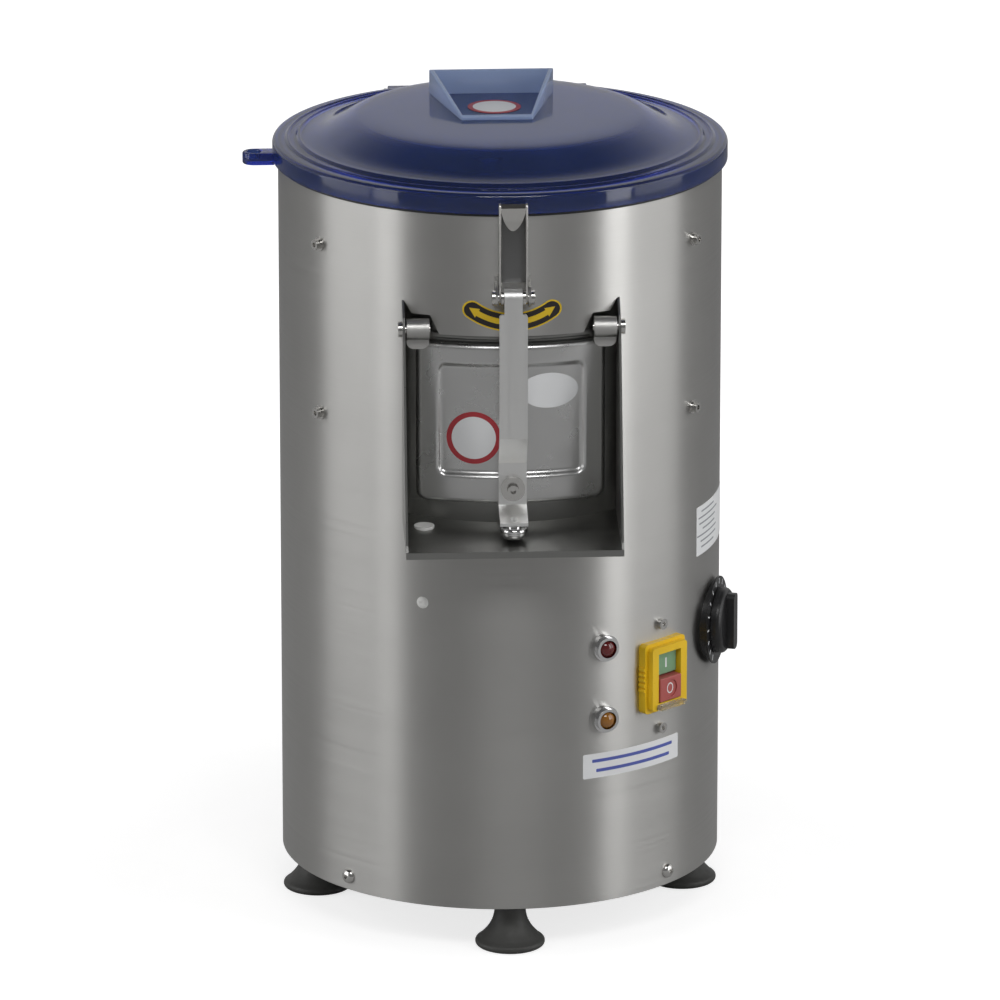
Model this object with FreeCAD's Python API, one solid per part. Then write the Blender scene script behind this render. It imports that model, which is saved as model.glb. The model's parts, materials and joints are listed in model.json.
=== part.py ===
import FreeCAD, Part
import math
import os

# Catering potato peeler, in millimetres. The origin is on the casing's axis at floor level.
# +Z is up, the discharge chute faces -Y, and azimuths turn from -Y towards +X.

V = FreeCAD.Vector
X_AXIS = V(1, 0, 0)
Y_AXIS = V(0, 1, 0)
Z_AXIS = V(0, 0, 1)

# Casing and feet
CASING_R = 200.0
CASING_BOTTOM = 44.0
CASING_TOP = 690.0
SHEET = 2.0
FOOT_PITCH_R = 168.0
FOOT_R = 31.5
FOOT_NECK_R = 14.0

# Drum, disc and drive
DRUM_R = 188.0
LINING_T = 3.0
WINDOW_HALF = 74.0
FLOOR_Z = 394.0
DISC_R = 180.0
DISC_Z = 405.0
SHAFT_R = 10.0
DRIVEN_R = 88.0
DRIVER_R = 20.0
PULLEY_Z = 298.0
PULLEY_H = 18.0
MOTOR_X = -85.0
MOTOR_Y = 85.0
MOTOR_R = 62.0
MOTOR_TOP = 284.0
MOTOR_H = 190.0
BEARING_R = 23.5
BEARING_H = 14.0

# Running clearances
SHAFT_FIT = 0.05
SEAL_GAP = 0.08

# Front opening and chute
CHUTE_HALF = 96.5
HOOD_Z = 580.0
NOTCH_TOP = 608.0
CHUTE_BACK_Z = 405.0
CHUTE_LIP_Y = -252.0
CHUTE_SLOPE = math.tan(math.radians(7))
PLUG_X = -78.0
PLUG_Y = -194.8
PLUG_R = 9.0

# Door
DOOR_HALF = 84.0
DOOR_Z0 = 424.0
DOOR_Z1 = 571.0
DOOR_FACE_R = 196.0
DOOR_BACK_R = 190.5
DOOR_PANEL_R = 192.0
RECESS_HALF = 61.5
RECESS_Z0 = 453.0
RECESS_Z1 = 549.0
DOOR_PIN_Y = -189.0
DOOR_PIN_Z = 585.0
DOOR_PIN_R = 4.0
KNUCKLE_R = 9.5

# Latch
LATCH_Y = -215.0
LATCH_Z = 620.0
LATCH_PIN_R = 4.0
EAR_X0 = 13.6
EAR_X1 = 15.8
NECK_Z = 606.5
STRAP_HALF = 12.5
STRAP_T = 3.0
STRAP_Y = -222.0
STRAP_LOW_Y = -207.0
LEVER_TOP = 706.0

# Lid
LID_R = 205.0
LID_BOTTOM = 693.0
LID_HINGE_Y = 215.0
LID_HINGE_Z = 692.0
LID_LUG_X0 = 70.0
LID_LUG_X1 = 92.0
LID_PIN_R = 4.0
GRIP_X = -4.5

# Controls on the wall, by azimuth in degrees and height
SWITCH_AZ = 43.0
SWITCH_Z = 248.0
SWITCH_W = 52.0
SWITCH_H = 65.5
LAMP_AZ = 24.6
RED_LAMP_Z = 285.0
AMBER_LAMP_Z = 218.0
TIMER_AZ = 72.0
TIMER_Z = 271.0

# Fasteners
UPPER_SCREW_AZ = (56.4, -56.4, 124.0, -124.0)
UPPER_SCREW_Z = (643.0, 487.0)
LOWER_SCREW_AZ = (46.3, -46.3, 133.0, -133.0)
LOWER_SCREW_Z = 57.0
SWITCH_SCREW_Z = (295.0, 197.0)

# Services at the back
DRAIN_Z = 350.0
DRAIN_R = 25.0
DRAIN_END = 250.0
DRAIN_COLLAR = 205.0
INLET_Z = 640.0
INLET_R = 13.2
INLET_END = 236.0
GLAND_AZ = 150.0
GLAND_Z = 110.0
GLAND_BORE_R = 4.5


def tube_z(outer, inner, z0, z1, x=0.0, y=0.0):
    """An upright cylinder, hollow when inner is not zero."""
    body = Part.makeCylinder(outer, z1 - z0, V(x, y, z0))
    if inner:
        body = body.cut(Part.makeCylinder(inner, z1 - z0, V(x, y, z0)))
    return body


def rod_x(radius, x0, x1, y, z):
    """A cylinder along X."""
    return Part.makeCylinder(radius, x1 - x0, V(x0, y, z), X_AXIS)


def rod_y(radius, y0, y1, x, z):
    """A cylinder along Y."""
    return Part.makeCylinder(radius, y1 - y0, V(x, y0, z), Y_AXIS)


def block(x0, x1, y0, y1, z0, z1):
    """A box between two corners."""
    return Part.makeBox(x1 - x0, y1 - y0, z1 - z0, V(x0, y0, z0))


def on_wall(shape, azimuth):
    """Turn a shape made at the front of the casing to an azimuth."""
    turned = shape.copy()
    turned.rotate(V(0, 0, 0), Z_AXIS, azimuth)
    return turned


def mirror_x(shape):
    """The same shape on the other side of the YZ plane."""
    return shape.mirror(V(0, 0, 0), X_AXIS)


def outline(points):
    """A closed wire through points. A pair of points in the list is an arc through the first to the second."""
    edges = []
    last = points[0]
    for item in list(points[1:]) + [points[0]]:
        if isinstance(item, tuple) and isinstance(item[0], V):
            edges.append(Part.Arc(last, item[0], item[1]).toShape())
            last = item[1]
        else:
            if last.distanceToPoint(item) > 1e-6:
                edges.append(Part.LineSegment(last, item).toShape())
            last = item
    return Part.Wire(edges)


def turned_z(profile):
    """Revolve an (r, z) profile about Z. A pair of points in it is an arc."""
    points = []
    for item in profile:
        if isinstance(item[0], tuple):
            points.append(tuple(V(r, 0, z) for r, z in item))
        else:
            points.append(V(item[0], 0, item[1]))
    return Part.Face(outline(points)).revolve(V(0, 0, 0), Z_AXIS, 360)


def plate_yz(points, x0, x1):
    """Extrude a (y, z) polygon along X."""
    wire = Part.makePolygon([V(x0, y, z) for y, z in points + points[:1]])
    return Part.Face(wire).extrude(V(x1 - x0, 0, 0))


def plate_xz(points, y0, y1):
    """Extrude an (x, z) polygon along Y."""
    wire = Part.makePolygon([V(x, y0, z) for x, z in points + points[:1]])
    return Part.Face(wire).extrude(V(0, y1 - y0, 0))


def rounded_plate(half, z0, z1, radius, y0, y1):
    """A rectangle with round corners in the XZ plane, extruded along Y."""
    body = block(-half, half, y0, y1, z0, z1)
    corners = [e for e in body.Edges if abs(e.tangentAt(e.FirstParameter).y) > 0.99]
    return body.makeFillet(radius, corners)


def floor_top(y):
    """Height of the chute's floor at y."""
    return CHUTE_BACK_Z + (y + DRUM_R) * CHUTE_SLOPE


def socket_screw(head_r, head_h, shank_r, shank, seat):
    """A socket head screw along Y, with its head's seat at y = -seat."""
    head = rod_y(head_r, -seat - head_h, -seat, 0, 0)
    socket = rod_y(head_r * 0.45, -seat - head_h, -seat - head_h * 0.45, 0, 0)
    stem = rod_y(shank_r, -seat, -seat + shank, 0, 0)
    return head.cut(socket).fuse(stem)


def raised(shape, z):
    """Move a shape up by z."""
    moved = shape.copy()
    moved.translate(V(0, 0, z))
    return moved


def upper_screw_places():
    """Azimuth and height of each screw that holds the drum."""
    return [(az, z) for az in UPPER_SCREW_AZ for z in UPPER_SCREW_Z]


def make_casing():
    shell = tube_z(CASING_R, CASING_R - SHEET, CASING_BOTTOM, CASING_TOP)
    shell = shell.fuse(tube_z(CASING_R - SHEET, CASING_R - 16, CASING_BOTTOM, CASING_BOTTOM + SHEET))
    step = HOOD_Z + 17
    sill = CHUTE_BACK_Z + 10
    opening = [
        (-CHUTE_HALF, sill),
        (CHUTE_HALF, sill),
        (CHUTE_HALF, NOTCH_TOP),
        (CHUTE_HALF - SHEET, NOTCH_TOP),
        (88, step),
        (72, step),
        (64, HOOD_Z),
        (-64, HOOD_Z),
        (-72, step),
        (-88, step),
        (SHEET - CHUTE_HALF, NOTCH_TOP),
        (-CHUTE_HALF, NOTCH_TOP),
    ]
    shell = shell.cut(plate_xz(opening, -230, -150))
    above_floor = [
        (-150, floor_top(-150) - SHEET),
        (-150, sill + 1),
        (-215, sill + 1),
        (-215, floor_top(-215) - SHEET),
    ]
    shell = shell.cut(plate_yz(above_floor, -CHUTE_HALF, CHUTE_HALF))
    for az, z in upper_screw_places():
        shell = shell.cut(on_wall(rod_y(2.5, -205, -190, 0, z), az))
    for az in LOWER_SCREW_AZ:
        shell = shell.cut(on_wall(rod_y(3.0, -205, -190, 0, LOWER_SCREW_Z), az))
    for z in SWITCH_SCREW_Z:
        shell = shell.cut(on_wall(rod_y(2.0, -205, -190, 0, z), SWITCH_AZ))
    shell = shell.cut(on_wall(block(-21, 21, -205, -190, SWITCH_Z - 27, SWITCH_Z + 27), SWITCH_AZ))
    for z in (RED_LAMP_Z, AMBER_LAMP_Z):
        shell = shell.cut(on_wall(rod_y(9, -205, -190, 0, z), LAMP_AZ))
    shell = shell.cut(on_wall(rod_y(5, -205, -190, 0, TIMER_Z), TIMER_AZ))
    shell = shell.cut(on_wall(rod_y(8, -205, -190, 0, GLAND_Z), GLAND_AZ))
    shell = shell.cut(rod_y(DRAIN_R - 0.5, 190, 205, 0, DRAIN_Z))
    shell = shell.cut(rod_y(INLET_R, 190, 205, 0, INLET_Z))
    return shell


def make_drum():
    shell = tube_z(DRUM_R, DRUM_R - SHEET, FLOOR_Z - 2, CASING_TOP - 6)
    shell = shell.fuse(tube_z(CASING_R - SHEET - 0.2, DRUM_R, CASING_TOP - 8, CASING_TOP - 6))
    bead = turned_z([(DRUM_R - 1, 573.5), ((DRUM_R + 3.5, 576.5), (DRUM_R - 1, 579.5))])
    shell = shell.fuse(bead.common(block(-70, 70, -200, 0, 570, 583)))
    window = rounded_plate(WINDOW_HALF, DOOR_Z0 + 6, DOOR_Z1 - 7.5, 10, -200, -120)
    shell = shell.cut(window)
    return shell.cut(rod_y(INLET_R, 180, 192, 0, INLET_Z))


def make_lining():
    body = tube_z(DRUM_R - SHEET, DRUM_R - SHEET - LINING_T, DISC_Z + 8, 612)
    return body.cut(rounded_plate(WINDOW_HALF + 1.5, DOOR_Z0 + 5, DOOR_Z1 - 6, 10, -200, -120))


def make_chamber_floor():
    body = tube_z(DRUM_R - SHEET, 0, FLOOR_Z, FLOOR_Z + 3)
    body = body.fuse(tube_z(24, 0, FLOOR_Z + 3, FLOOR_Z + 8))
    body = body.cut(tube_z(SHAFT_R + 1.5, 0, FLOOR_Z, FLOOR_Z + 9))
    return body.cut(tube_z(DRAIN_R - 3, 0, FLOOR_Z, FLOOR_Z + 4, 0, 145))


def make_chute():
    """Two cheeks and a sloping floor with a turned-down lip."""
    low = CHUTE_LIP_Y
    side = [
        (-161, NOTCH_TOP - 4),
        (-176, NOTCH_TOP),
        (-192, 596),
        (-199, 588),
        (-201, 578),
        (low + 5, floor_top(low) + 5),
        (low, floor_top(low) - 1),
        (low, floor_top(low) - SHEET),
        (-161, floor_top(-161) - SHEET),
    ]
    cheek = plate_yz(side, CHUTE_HALF - SHEET, CHUTE_HALF)
    cheek = cheek.cut(rod_x(DOOR_PIN_R, 90, 100, DOOR_PIN_Y, DOOR_PIN_Z))
    floor = plate_yz(
        [
            (-150, floor_top(-150)),
            (low, floor_top(low)),
            (low, floor_top(low) - 6),
            (low + 1.5, floor_top(low) - 6),
            (low + 1.5, floor_top(low + 1.5) - SHEET),
            (-150, floor_top(-150) - SHEET),
        ],
        -CHUTE_HALF,
        CHUTE_HALF,
    )
    body = cheek.fuse(mirror_x(cheek)).fuse(floor)
    body = body.cut(Part.makeCylinder(PLUG_R, 12, V(PLUG_X, PLUG_Y, floor_top(PLUG_Y) - 6)))
    return body.cut(tube_z(DRUM_R, 0, 380, 620))


def make_drum_spacers():
    """Round blocks between the drum and the casing that the side screws pull on."""
    found = []
    ring = tube_z(CASING_R - SHEET, DRUM_R, 470, 660)
    for az, z in upper_screw_places():
        spacer = on_wall(rod_y(8, -200, -185, 0, z), az)
        hole = on_wall(rod_y(2.5, -200, -185, 0, z), az)
        found.append(spacer.cut(hole).common(ring))
    return found


def make_casing_screws():
    one = socket_screw(4.6, 5, 2.5, 11, CASING_R + 1.2)
    washer = rod_y(6.3, -CASING_R - 1.2, -CASING_R + 1.5, 0, 0)
    washer = washer.cut(tube_z(CASING_R, 0, -10, 10)).cut(rod_y(2.5, -205, -195, 0, 0))
    one = one.fuse(washer)
    return [on_wall(raised(one, z), az) for az, z in upper_screw_places()]


def make_base_plate():
    """A pan with a turned-up rim, vent holes and the motor's cooling slots."""
    z0 = CASING_BOTTOM + SHEET
    body = tube_z(CASING_R - SHEET - 0.1, 0, z0, z0 + 3)
    body = body.fuse(tube_z(CASING_R - SHEET - 0.1, CASING_R - SHEET - 2.6, z0 + 3, z0 + 20))
    for step in range(6):
        angle = math.radians(step * 60)
        body = body.cut(tube_z(14, 0, z0, z0 + 3, 90 * math.cos(angle), 90 * math.sin(angle)))
    for x, y in foot_places():
        body = body.cut(tube_z(4, 0, z0, z0 + 3, x, y))
    for az in LOWER_SCREW_AZ:
        body = body.cut(on_wall(rod_y(3.0, -205, -190, 0, LOWER_SCREW_Z), az))
    return body


def foot_places():
    """The four feet, one under each quarter."""
    return [(FOOT_PITCH_R * math.sin(math.radians(az)), -FOOT_PITCH_R * math.cos(math.radians(az)))
            for az in (0, 90, 180, 270)]


def make_feet():
    profile = [
        (4, 0),
        (FOOT_R - 3, 0),
        ((FOOT_R, 3.6), (FOOT_R - 2.5, 7.5)),
        ((20, 17), (FOOT_NECK_R + 1, 29)),
        (FOOT_NECK_R, 34),
        (FOOT_NECK_R, CASING_BOTTOM + SHEET),
        (4, CASING_BOTTOM + SHEET),
    ]
    foot = turned_z(profile)
    return [foot.translated(V(x, y, 0)) for x, y in foot_places()]


def make_foot_bolts():
    """Through bolts: the head is sunk in the foot and the nut sits on the base plate."""
    top = CASING_BOTTOM + SHEET + 3
    found = []
    for x, y in foot_places():
        stem = tube_z(4, 0, 6, top + 10, x, y)
        nut = Part.Face(Part.makePolygon([V(7.5 * math.cos(k * math.pi / 3) + x,
                                            7.5 * math.sin(k * math.pi / 3) + y, top)
                                          for k in range(7)])).extrude(V(0, 0, 6.5))
        found.append(stem.fuse(nut))
    return found


def make_base_screws():
    head = turned_z([(0, 4.2), ((5.2, 3.2), (7, 0)), (0, 0)])
    head.rotate(V(0, 0, 0), X_AXIS, 90)
    head.translate(V(0, -CASING_R + 0.1, 0))
    back = rod_y(7, -CASING_R + 0.1, -CASING_R + 1.5, 0, 0).cut(tube_z(CASING_R, 0, -10, 10))
    one = head.fuse(back).fuse(rod_y(3, -CASING_R, -CASING_R + 8, 0, 0))
    one = one.cut(tube_z(CASING_R, 0, -10, 10).cut(rod_y(3, -205, -180, 0, 0)))
    one = one.cut(rod_y(2, -210, -CASING_R - 2.2, 0, 0))
    return [on_wall(raised(one, LOWER_SCREW_Z), az) for az in LOWER_SCREW_AZ]


def make_lid_gasket():
    top = LID_BOTTOM - 0.35
    return turned_z([
        (195, top), (200.3, top), (200.8, top - 1), (200.8, CASING_TOP), (198, CASING_TOP),
        (198, CASING_TOP - 6), (195, CASING_TOP - 6),
    ])


def make_lid_hinge_brackets():
    """An angle each side: an ear for the hinge bolt and a foot on the back of the casing."""
    x0 = LID_LUG_X1 + 0.5
    ear = plate_yz([(160, 640), (196, 640), (222, 676), (224, 690), (222, 700), (208, 702),
                    (203, 690), (200, 655), (160, 655)], x0, x0 + 3)
    ear = ear.cut(rod_x(LID_PIN_R, 80, 110, LID_HINGE_Y, LID_HINGE_Z))
    foot = tube_z(CASING_R + 3, CASING_R, 640, 680).common(block(x0, x0 + 24, 100, 210, 640, 680))
    body = ear.cut(tube_z(CASING_R, 0, 600, 720)).fuse(foot)
    return [body, mirror_x(body)]


def make_lid_hinge_bolts():
    stem = rod_x(LID_PIN_R, LID_LUG_X0 - 4.5, 103, LID_HINGE_Y, LID_HINGE_Z)
    head = rod_x(6.5, LID_LUG_X0 - 4.5, LID_LUG_X0 - 0.5, LID_HINGE_Y, LID_HINGE_Z)
    nut = rod_x(6.5, LID_LUG_X1 + 3.5, 101.5, LID_HINGE_Y, LID_HINGE_Z)
    body = stem.fuse([head, nut])
    return [body, mirror_x(body)]


def make_latch_bracket():
    """A channel on the casing whose two ears hold the latch bolt."""
    ear = plate_yz([(-196, 608), (-214, 611), (-221, 616), (-221, 624), (-214, 629), (-196, 634)], EAR_X0, EAR_X1)
    ear = ear.fuse(mirror_x(ear))
    back = block(-EAR_X1, EAR_X1, -203, -196, 606, 636)
    body = ear.fuse(back).cut(tube_z(CASING_R, 0, 560, 700))
    return body.cut(rod_x(LATCH_PIN_R, -30, 30, LATCH_Y, LATCH_Z))


def make_latch_bolt():
    stem = rod_x(LATCH_PIN_R, -EAR_X1 - 3, EAR_X1 + 3.5, LATCH_Y, LATCH_Z)
    head = rod_x(6.8, -EAR_X1 - 3, -EAR_X1, LATCH_Y, LATCH_Z)
    nut = rod_x(6.5, EAR_X1, EAR_X1 + 3, LATCH_Y, LATCH_Z)
    return stem.fuse([head, nut])


def make_door_pins():
    stem = rod_x(DOOR_PIN_R, 72, CHUTE_HALF + 2, DOOR_PIN_Y, DOOR_PIN_Z)
    head = rod_x(7, CHUTE_HALF, CHUTE_HALF + 4, DOOR_PIN_Y, DOOR_PIN_Z)
    body = stem.fuse(head)
    return [body, mirror_x(body)]


def make_bearing_housing():
    return turned_z([(BEARING_R, 324), (32, 324), (34, 378), (62, 386), (62, FLOOR_Z), (26, FLOOR_Z), (26, 384),
                     (BEARING_R, 384)])


def make_shaft_bearings():
    found = []
    for z in (330.0, 368.0):
        ring = tube_z(BEARING_R, SHAFT_R + SHAFT_FIT, z, z + BEARING_H)
        found.append(ring)
    return found


def make_shaft_seal():
    return turned_z([(SHAFT_R + SEAL_GAP, 386), (26, 386), (26, FLOOR_Z - 0.5), (16, FLOOR_Z - 0.5),
                     (SHAFT_R + SEAL_GAP, 390)])


def make_motor_body():
    """An upright motor: finned stator, end bells and a terminal box."""
    z0 = MOTOR_TOP - MOTOR_H
    body = turned_z([(0, z0), (40, z0), (MOTOR_R - 6, z0 + 12), (MOTOR_R - 6, z0 + 40), (MOTOR_R, z0 + 42),
                     (MOTOR_R, MOTOR_TOP - 22), (MOTOR_R - 8, MOTOR_TOP - 18), (30, MOTOR_TOP),
                     (9.6, MOTOR_TOP), (9.6, MOTOR_TOP - 30), (0, MOTOR_TOP - 30)])
    body = body.translated(V(MOTOR_X, MOTOR_Y, 0))
    box = block(MOTOR_X + 30, MOTOR_X + 82, MOTOR_Y - 28, MOTOR_Y + 28, z0 + 60, z0 + 120)
    return body.fuse(box)


def make_motor_bracket():
    """A plate on the motor's top flange, hung from the chamber floor by a bent web."""
    plate = tube_z(MOTOR_R + 4, 0, MOTOR_TOP, MOTOR_TOP + 4, MOTOR_X, MOTOR_Y)
    web = block(-45, 45, 176, 180, MOTOR_TOP, FLOOR_Z)
    web = web.fuse(block(-45, 45, 110, 180, FLOOR_Z - 4, FLOOR_Z))
    web = web.fuse(block(-45, 45, 120, 180, MOTOR_TOP, MOTOR_TOP + 4))
    web.rotate(V(0, 0, 0), Z_AXIS, 45)
    body = plate.fuse(web)
    return body.cut(tube_z(24, 0, MOTOR_TOP - 1, MOTOR_TOP + 6, MOTOR_X, MOTOR_Y))


def pulley(radius, x, y, bore, groove=4.0):
    """A wheel with one V groove for the belt."""
    z0, z1, mid = PULLEY_Z, PULLEY_Z + PULLEY_H, PULLEY_Z + PULLEY_H / 2
    body = turned_z([(bore, z0), (radius + 4, z0), (radius + 4, mid - 6), (radius - groove, mid - 3),
                     (radius - groove, mid + 3), (radius + 4, mid + 6), (radius + 4, z1), (bore, z1)])
    return body.translated(V(x, y, 0))


def make_driven_pulley():
    body = pulley(DRIVEN_R, 0, 0, SHAFT_R)
    for step in range(5):
        angle = math.radians(step * 72)
        body = body.cut(tube_z(17, 0, PULLEY_Z, PULLEY_Z + PULLEY_H, 50 * math.cos(angle), 50 * math.sin(angle)))
    return body


def make_drive_belt():
    """A stadium loop lying in both grooves with a little air under it."""
    reach = math.hypot(MOTOR_X, MOTOR_Y)
    mid = PULLEY_Z + PULLEY_H / 2

    def loop(extra):
        big, small = DRIVEN_R - 3.2 + extra, DRIVER_R - 3.2 + extra
        lean = math.asin((big - small) / reach)
        points = []
        for radius, centre, side in ((big, 0.0, 1), (small, reach, 1), (small, reach, -1), (big, 0.0, -1)):
            points.append(V(centre + radius * math.sin(lean), side * radius * math.cos(lean), mid - 2.5))
        edges = [
            Part.LineSegment(points[0], points[1]).toShape(),
            Part.Arc(points[1], V(reach + small, 0, mid - 2.5), points[2]).toShape(),
            Part.LineSegment(points[2], points[3]).toShape(),
            Part.Arc(points[3], V(-big, 0, mid - 2.5), points[0]).toShape(),
        ]
        return Part.Face(Part.Wire(edges)).extrude(V(0, 0, 5))

    belt = loop(5).cut(loop(0))
    belt.rotate(V(0, 0, 0), Z_AXIS, math.degrees(math.atan2(MOTOR_Y, MOTOR_X)))
    return belt


def make_drain_spout():
    """A bend from the chamber floor out through the back of the casing."""
    y0, bend = 145.0, 34.0

    def pipe(radius, extra):
        drop = tube_z(radius, 0, DRAIN_Z + bend, FLOOR_Z, 0, y0)
        elbow = Part.makeTorus(bend, radius, V(0, y0 + bend, DRAIN_Z + bend), X_AXIS)
        elbow = elbow.common(block(-40, 40, y0 - 30, y0 + bend, DRAIN_Z - 30, DRAIN_Z + bend))
        run = rod_y(radius, y0 + bend, DRAIN_END + extra, 0, DRAIN_Z)
        return drop.fuse([elbow, run])

    collar = rod_y(DRAIN_R + 6, CASING_R - 5, DRAIN_COLLAR, 0, DRAIN_Z).cut(tube_z(CASING_R, 0, 300, 400))
    spigot = rod_y(DRAIN_R, DRAIN_COLLAR, DRAIN_END, 0, DRAIN_Z)
    body = pipe(DRAIN_R - 0.5, -1).fuse([collar, spigot])
    return body.cut(pipe(DRAIN_R - 3, 2))


def make_water_inlet():
    body = rod_y(INLET_R, DRUM_R - SHEET, INLET_END, 0, INLET_Z)
    body = body.fuse(rod_y(18, CASING_R + 0.2, CASING_R + 7, 0, INLET_Z))
    body = body.cut(tube_z(DRUM_R - SHEET, 0, INLET_Z - 30, INLET_Z + 30))
    return body.cut(rod_y(9.5, DRUM_R - 10, INLET_END + 1, 0, INLET_Z))


def make_cable_gland():
    hexagon = plate_xz([(13 * math.cos(k * math.pi / 3), 13 * math.sin(k * math.pi / 3)) for k in range(6)],
                       -CASING_R - 6, -CASING_R + 1)
    stem = rod_y(8, -CASING_R - 1, -CASING_R + 12, 0, 0)
    nut = rod_y(10.5, -CASING_R - 20, -CASING_R - 6, 0, 0)
    tip = Part.makeCone(10.5, 7, 6, V(0, -CASING_R - 20, 0), V(0, -1, 0))
    body = hexagon.cut(tube_z(CASING_R, 0, -20, 20)).fuse([stem, nut, tip])
    body = body.cut(rod_y(GLAND_BORE_R, -CASING_R - 30, -CASING_R + 20, 0, 0))
    return on_wall(raised(body, GLAND_Z), GLAND_AZ)


def make_control_box():
    body = block(-48, 48, -191.8, -141.8, 84, 206)
    edges = [e for e in body.Edges if abs(e.tangentAt(e.FirstParameter).y) > 0.99]
    return on_wall(body.makeFillet(6, edges), -62)


def make_run_capacitor():
    return turned_z([(0, 49), (20, 49), (20, 128), (17, 132), (5, 132), (5, 140), (0, 140)]).translated(V(75, 95, 0))


def switch_local(shape):
    """Put a shape made round height zero on the switch's place."""
    return on_wall(raised(shape, SWITCH_Z), SWITCH_AZ)


def make_switch_frame():
    """A moulded frame with a step round it, serrated clips at its sides and a window for two buttons."""
    half_w, half_h = SWITCH_W / 2, SWITCH_H / 2
    base = rounded_plate(half_w, -half_h, half_h, 4, -206, -190)
    top = rounded_plate(half_w - 3.5, -half_h + 3.5, half_h - 3.5, 3, -212, -206)
    body = base.fuse(top).cut(tube_z(CASING_R, 0, -50, 50))
    for side in (-1, 1):
        for step in range(5):
            z = -10 + step * 5
            x = side * (half_w - 0.2)
            body = body.fuse(block(min(x, x + side * 1.6), max(x, x + side * 1.6), -206, -199, z - 1.3, z + 1.3))
    window = block(-14.5, 14.5, -215, -190, -23, 23)
    return switch_local(body.cut(window))


def make_switch_body():
    body = block(-19, 19, -192, -150, -26, 26)
    body = body.cut(block(-6, 6, -193, -184, 4, 16)).cut(block(-6, 6, -193, -184, -16, -4))
    return switch_local(body)


def make_switch_cover():
    """A clear hood that bulges over the lower button and leaves its middle free."""
    outer = rounded_plate(17, -29, -24.2, 2, -217, -212)
    return switch_local(outer)


def button(z0, z1, face, cup):
    """A push button with a stem into the switch body."""
    body = rounded_plate(13.8, z0, z1, 1.5, -face, -197)
    edges = [e for e in body.Edges if abs(e.BoundBox.YMin + face) < 1e-3 and abs(e.BoundBox.YMax + face) < 1e-3]
    body = body.makeFillet(1.0, edges)
    if cup:
        body = body.cut(rod_y(8, -face - 1, -face + 1.2, 0, (z0 + z1) / 2))
    stem = block(-4, 4, -197.5, -189, (z0 + z1) / 2 - 3.5, (z0 + z1) / 2 + 3.5)
    return switch_local(body.fuse(stem))


def make_switch_screws():
    one = socket_screw(5, 4.5, 2, 8, CASING_R)
    one = one.cut(tube_z(CASING_R, 0, -10, 10).cut(rod_y(2, -205, -180, 0, 0)))
    return [on_wall(raised(one, z), SWITCH_AZ) for z in SWITCH_SCREW_Z]


def make_lamp_bezels():
    ring = rod_y(12.3, -205.5, -199, 0, 0).fuse(rod_y(10.6, -209, -205.5, 0, 0))
    body = ring.cut(tube_z(CASING_R, 0, -20, 20)).fuse(rod_y(9, -200.5, -172, 0, 0))
    body = body.cut(rod_y(8.2, -212, -196, 0, 0))
    return [on_wall(raised(body, z), LAMP_AZ) for z in (RED_LAMP_Z, AMBER_LAMP_Z)]


def make_lens(z):
    dome = turned_z([(0, 15), ((5.6, 13.2), (8.15, 9)), (8.15, 0), (0, 0)])
    dome.rotate(V(0, 0, 0), X_AXIS, 90)
    dome.translate(V(0, -196, 0))
    return on_wall(raised(dome, z), LAMP_AZ)


def make_timer_body():
    body = block(-24, 24, -194, -160, -24, 24).cut(rod_y(4.06, -195, -178, 0, 0))
    return on_wall(raised(body, TIMER_Z), TIMER_AZ)


def make_timer_dial():
    disc = rod_y(40, -204.4, -203, 0, 0)
    hub = rod_y(37, -203, -195, 0, 0).cut(tube_z(CASING_R, 0, -50, 50))
    body = disc.fuse(hub).cut(rod_y(5, -210, -190, 0, 0))
    return on_wall(raised(body, TIMER_Z), TIMER_AZ)


def make_timer_knob():
    """A skirt with a bar grip, on the shaft that enters the timer."""
    skirt = turned_z([(0, 10), (24, 10), ((28, 9), (30, 5)), (30, 0.6), (0, 0.6)])
    skirt.rotate(V(0, 0, 0), X_AXIS, 90)
    skirt.translate(V(0, -204.4, 0))
    grip = block(-7, 7, -221.5, -213, -26, 26)
    edges = [e for e in grip.Edges if abs(e.tangentAt(e.FirstParameter).y) > 0.99]
    grip = grip.makeFillet(5, edges)
    body = skirt.fuse([grip, rod_y(4, -206, -180, 0, 0)])
    return on_wall(raised(body, TIMER_Z), TIMER_AZ)


def make_hole_plugs():
    plug = turned_z([(0, 1.6), ((4, 1.2), (5.5, 0)), (0, 0)])
    plug.rotate(V(0, 0, 0), X_AXIS, 90)
    plug.translate(V(0, -CASING_R - 0.05, 330))
    floor_plug = Part.makeCylinder(PLUG_R, 3.5, V(PLUG_X, PLUG_Y, floor_top(PLUG_Y) - 2))
    return [on_wall(plug, -23.3), floor_plug]


def make_lid_sensor():
    return on_wall(block(-8, 8, -197.8, -189, 640, 672), -150)


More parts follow.
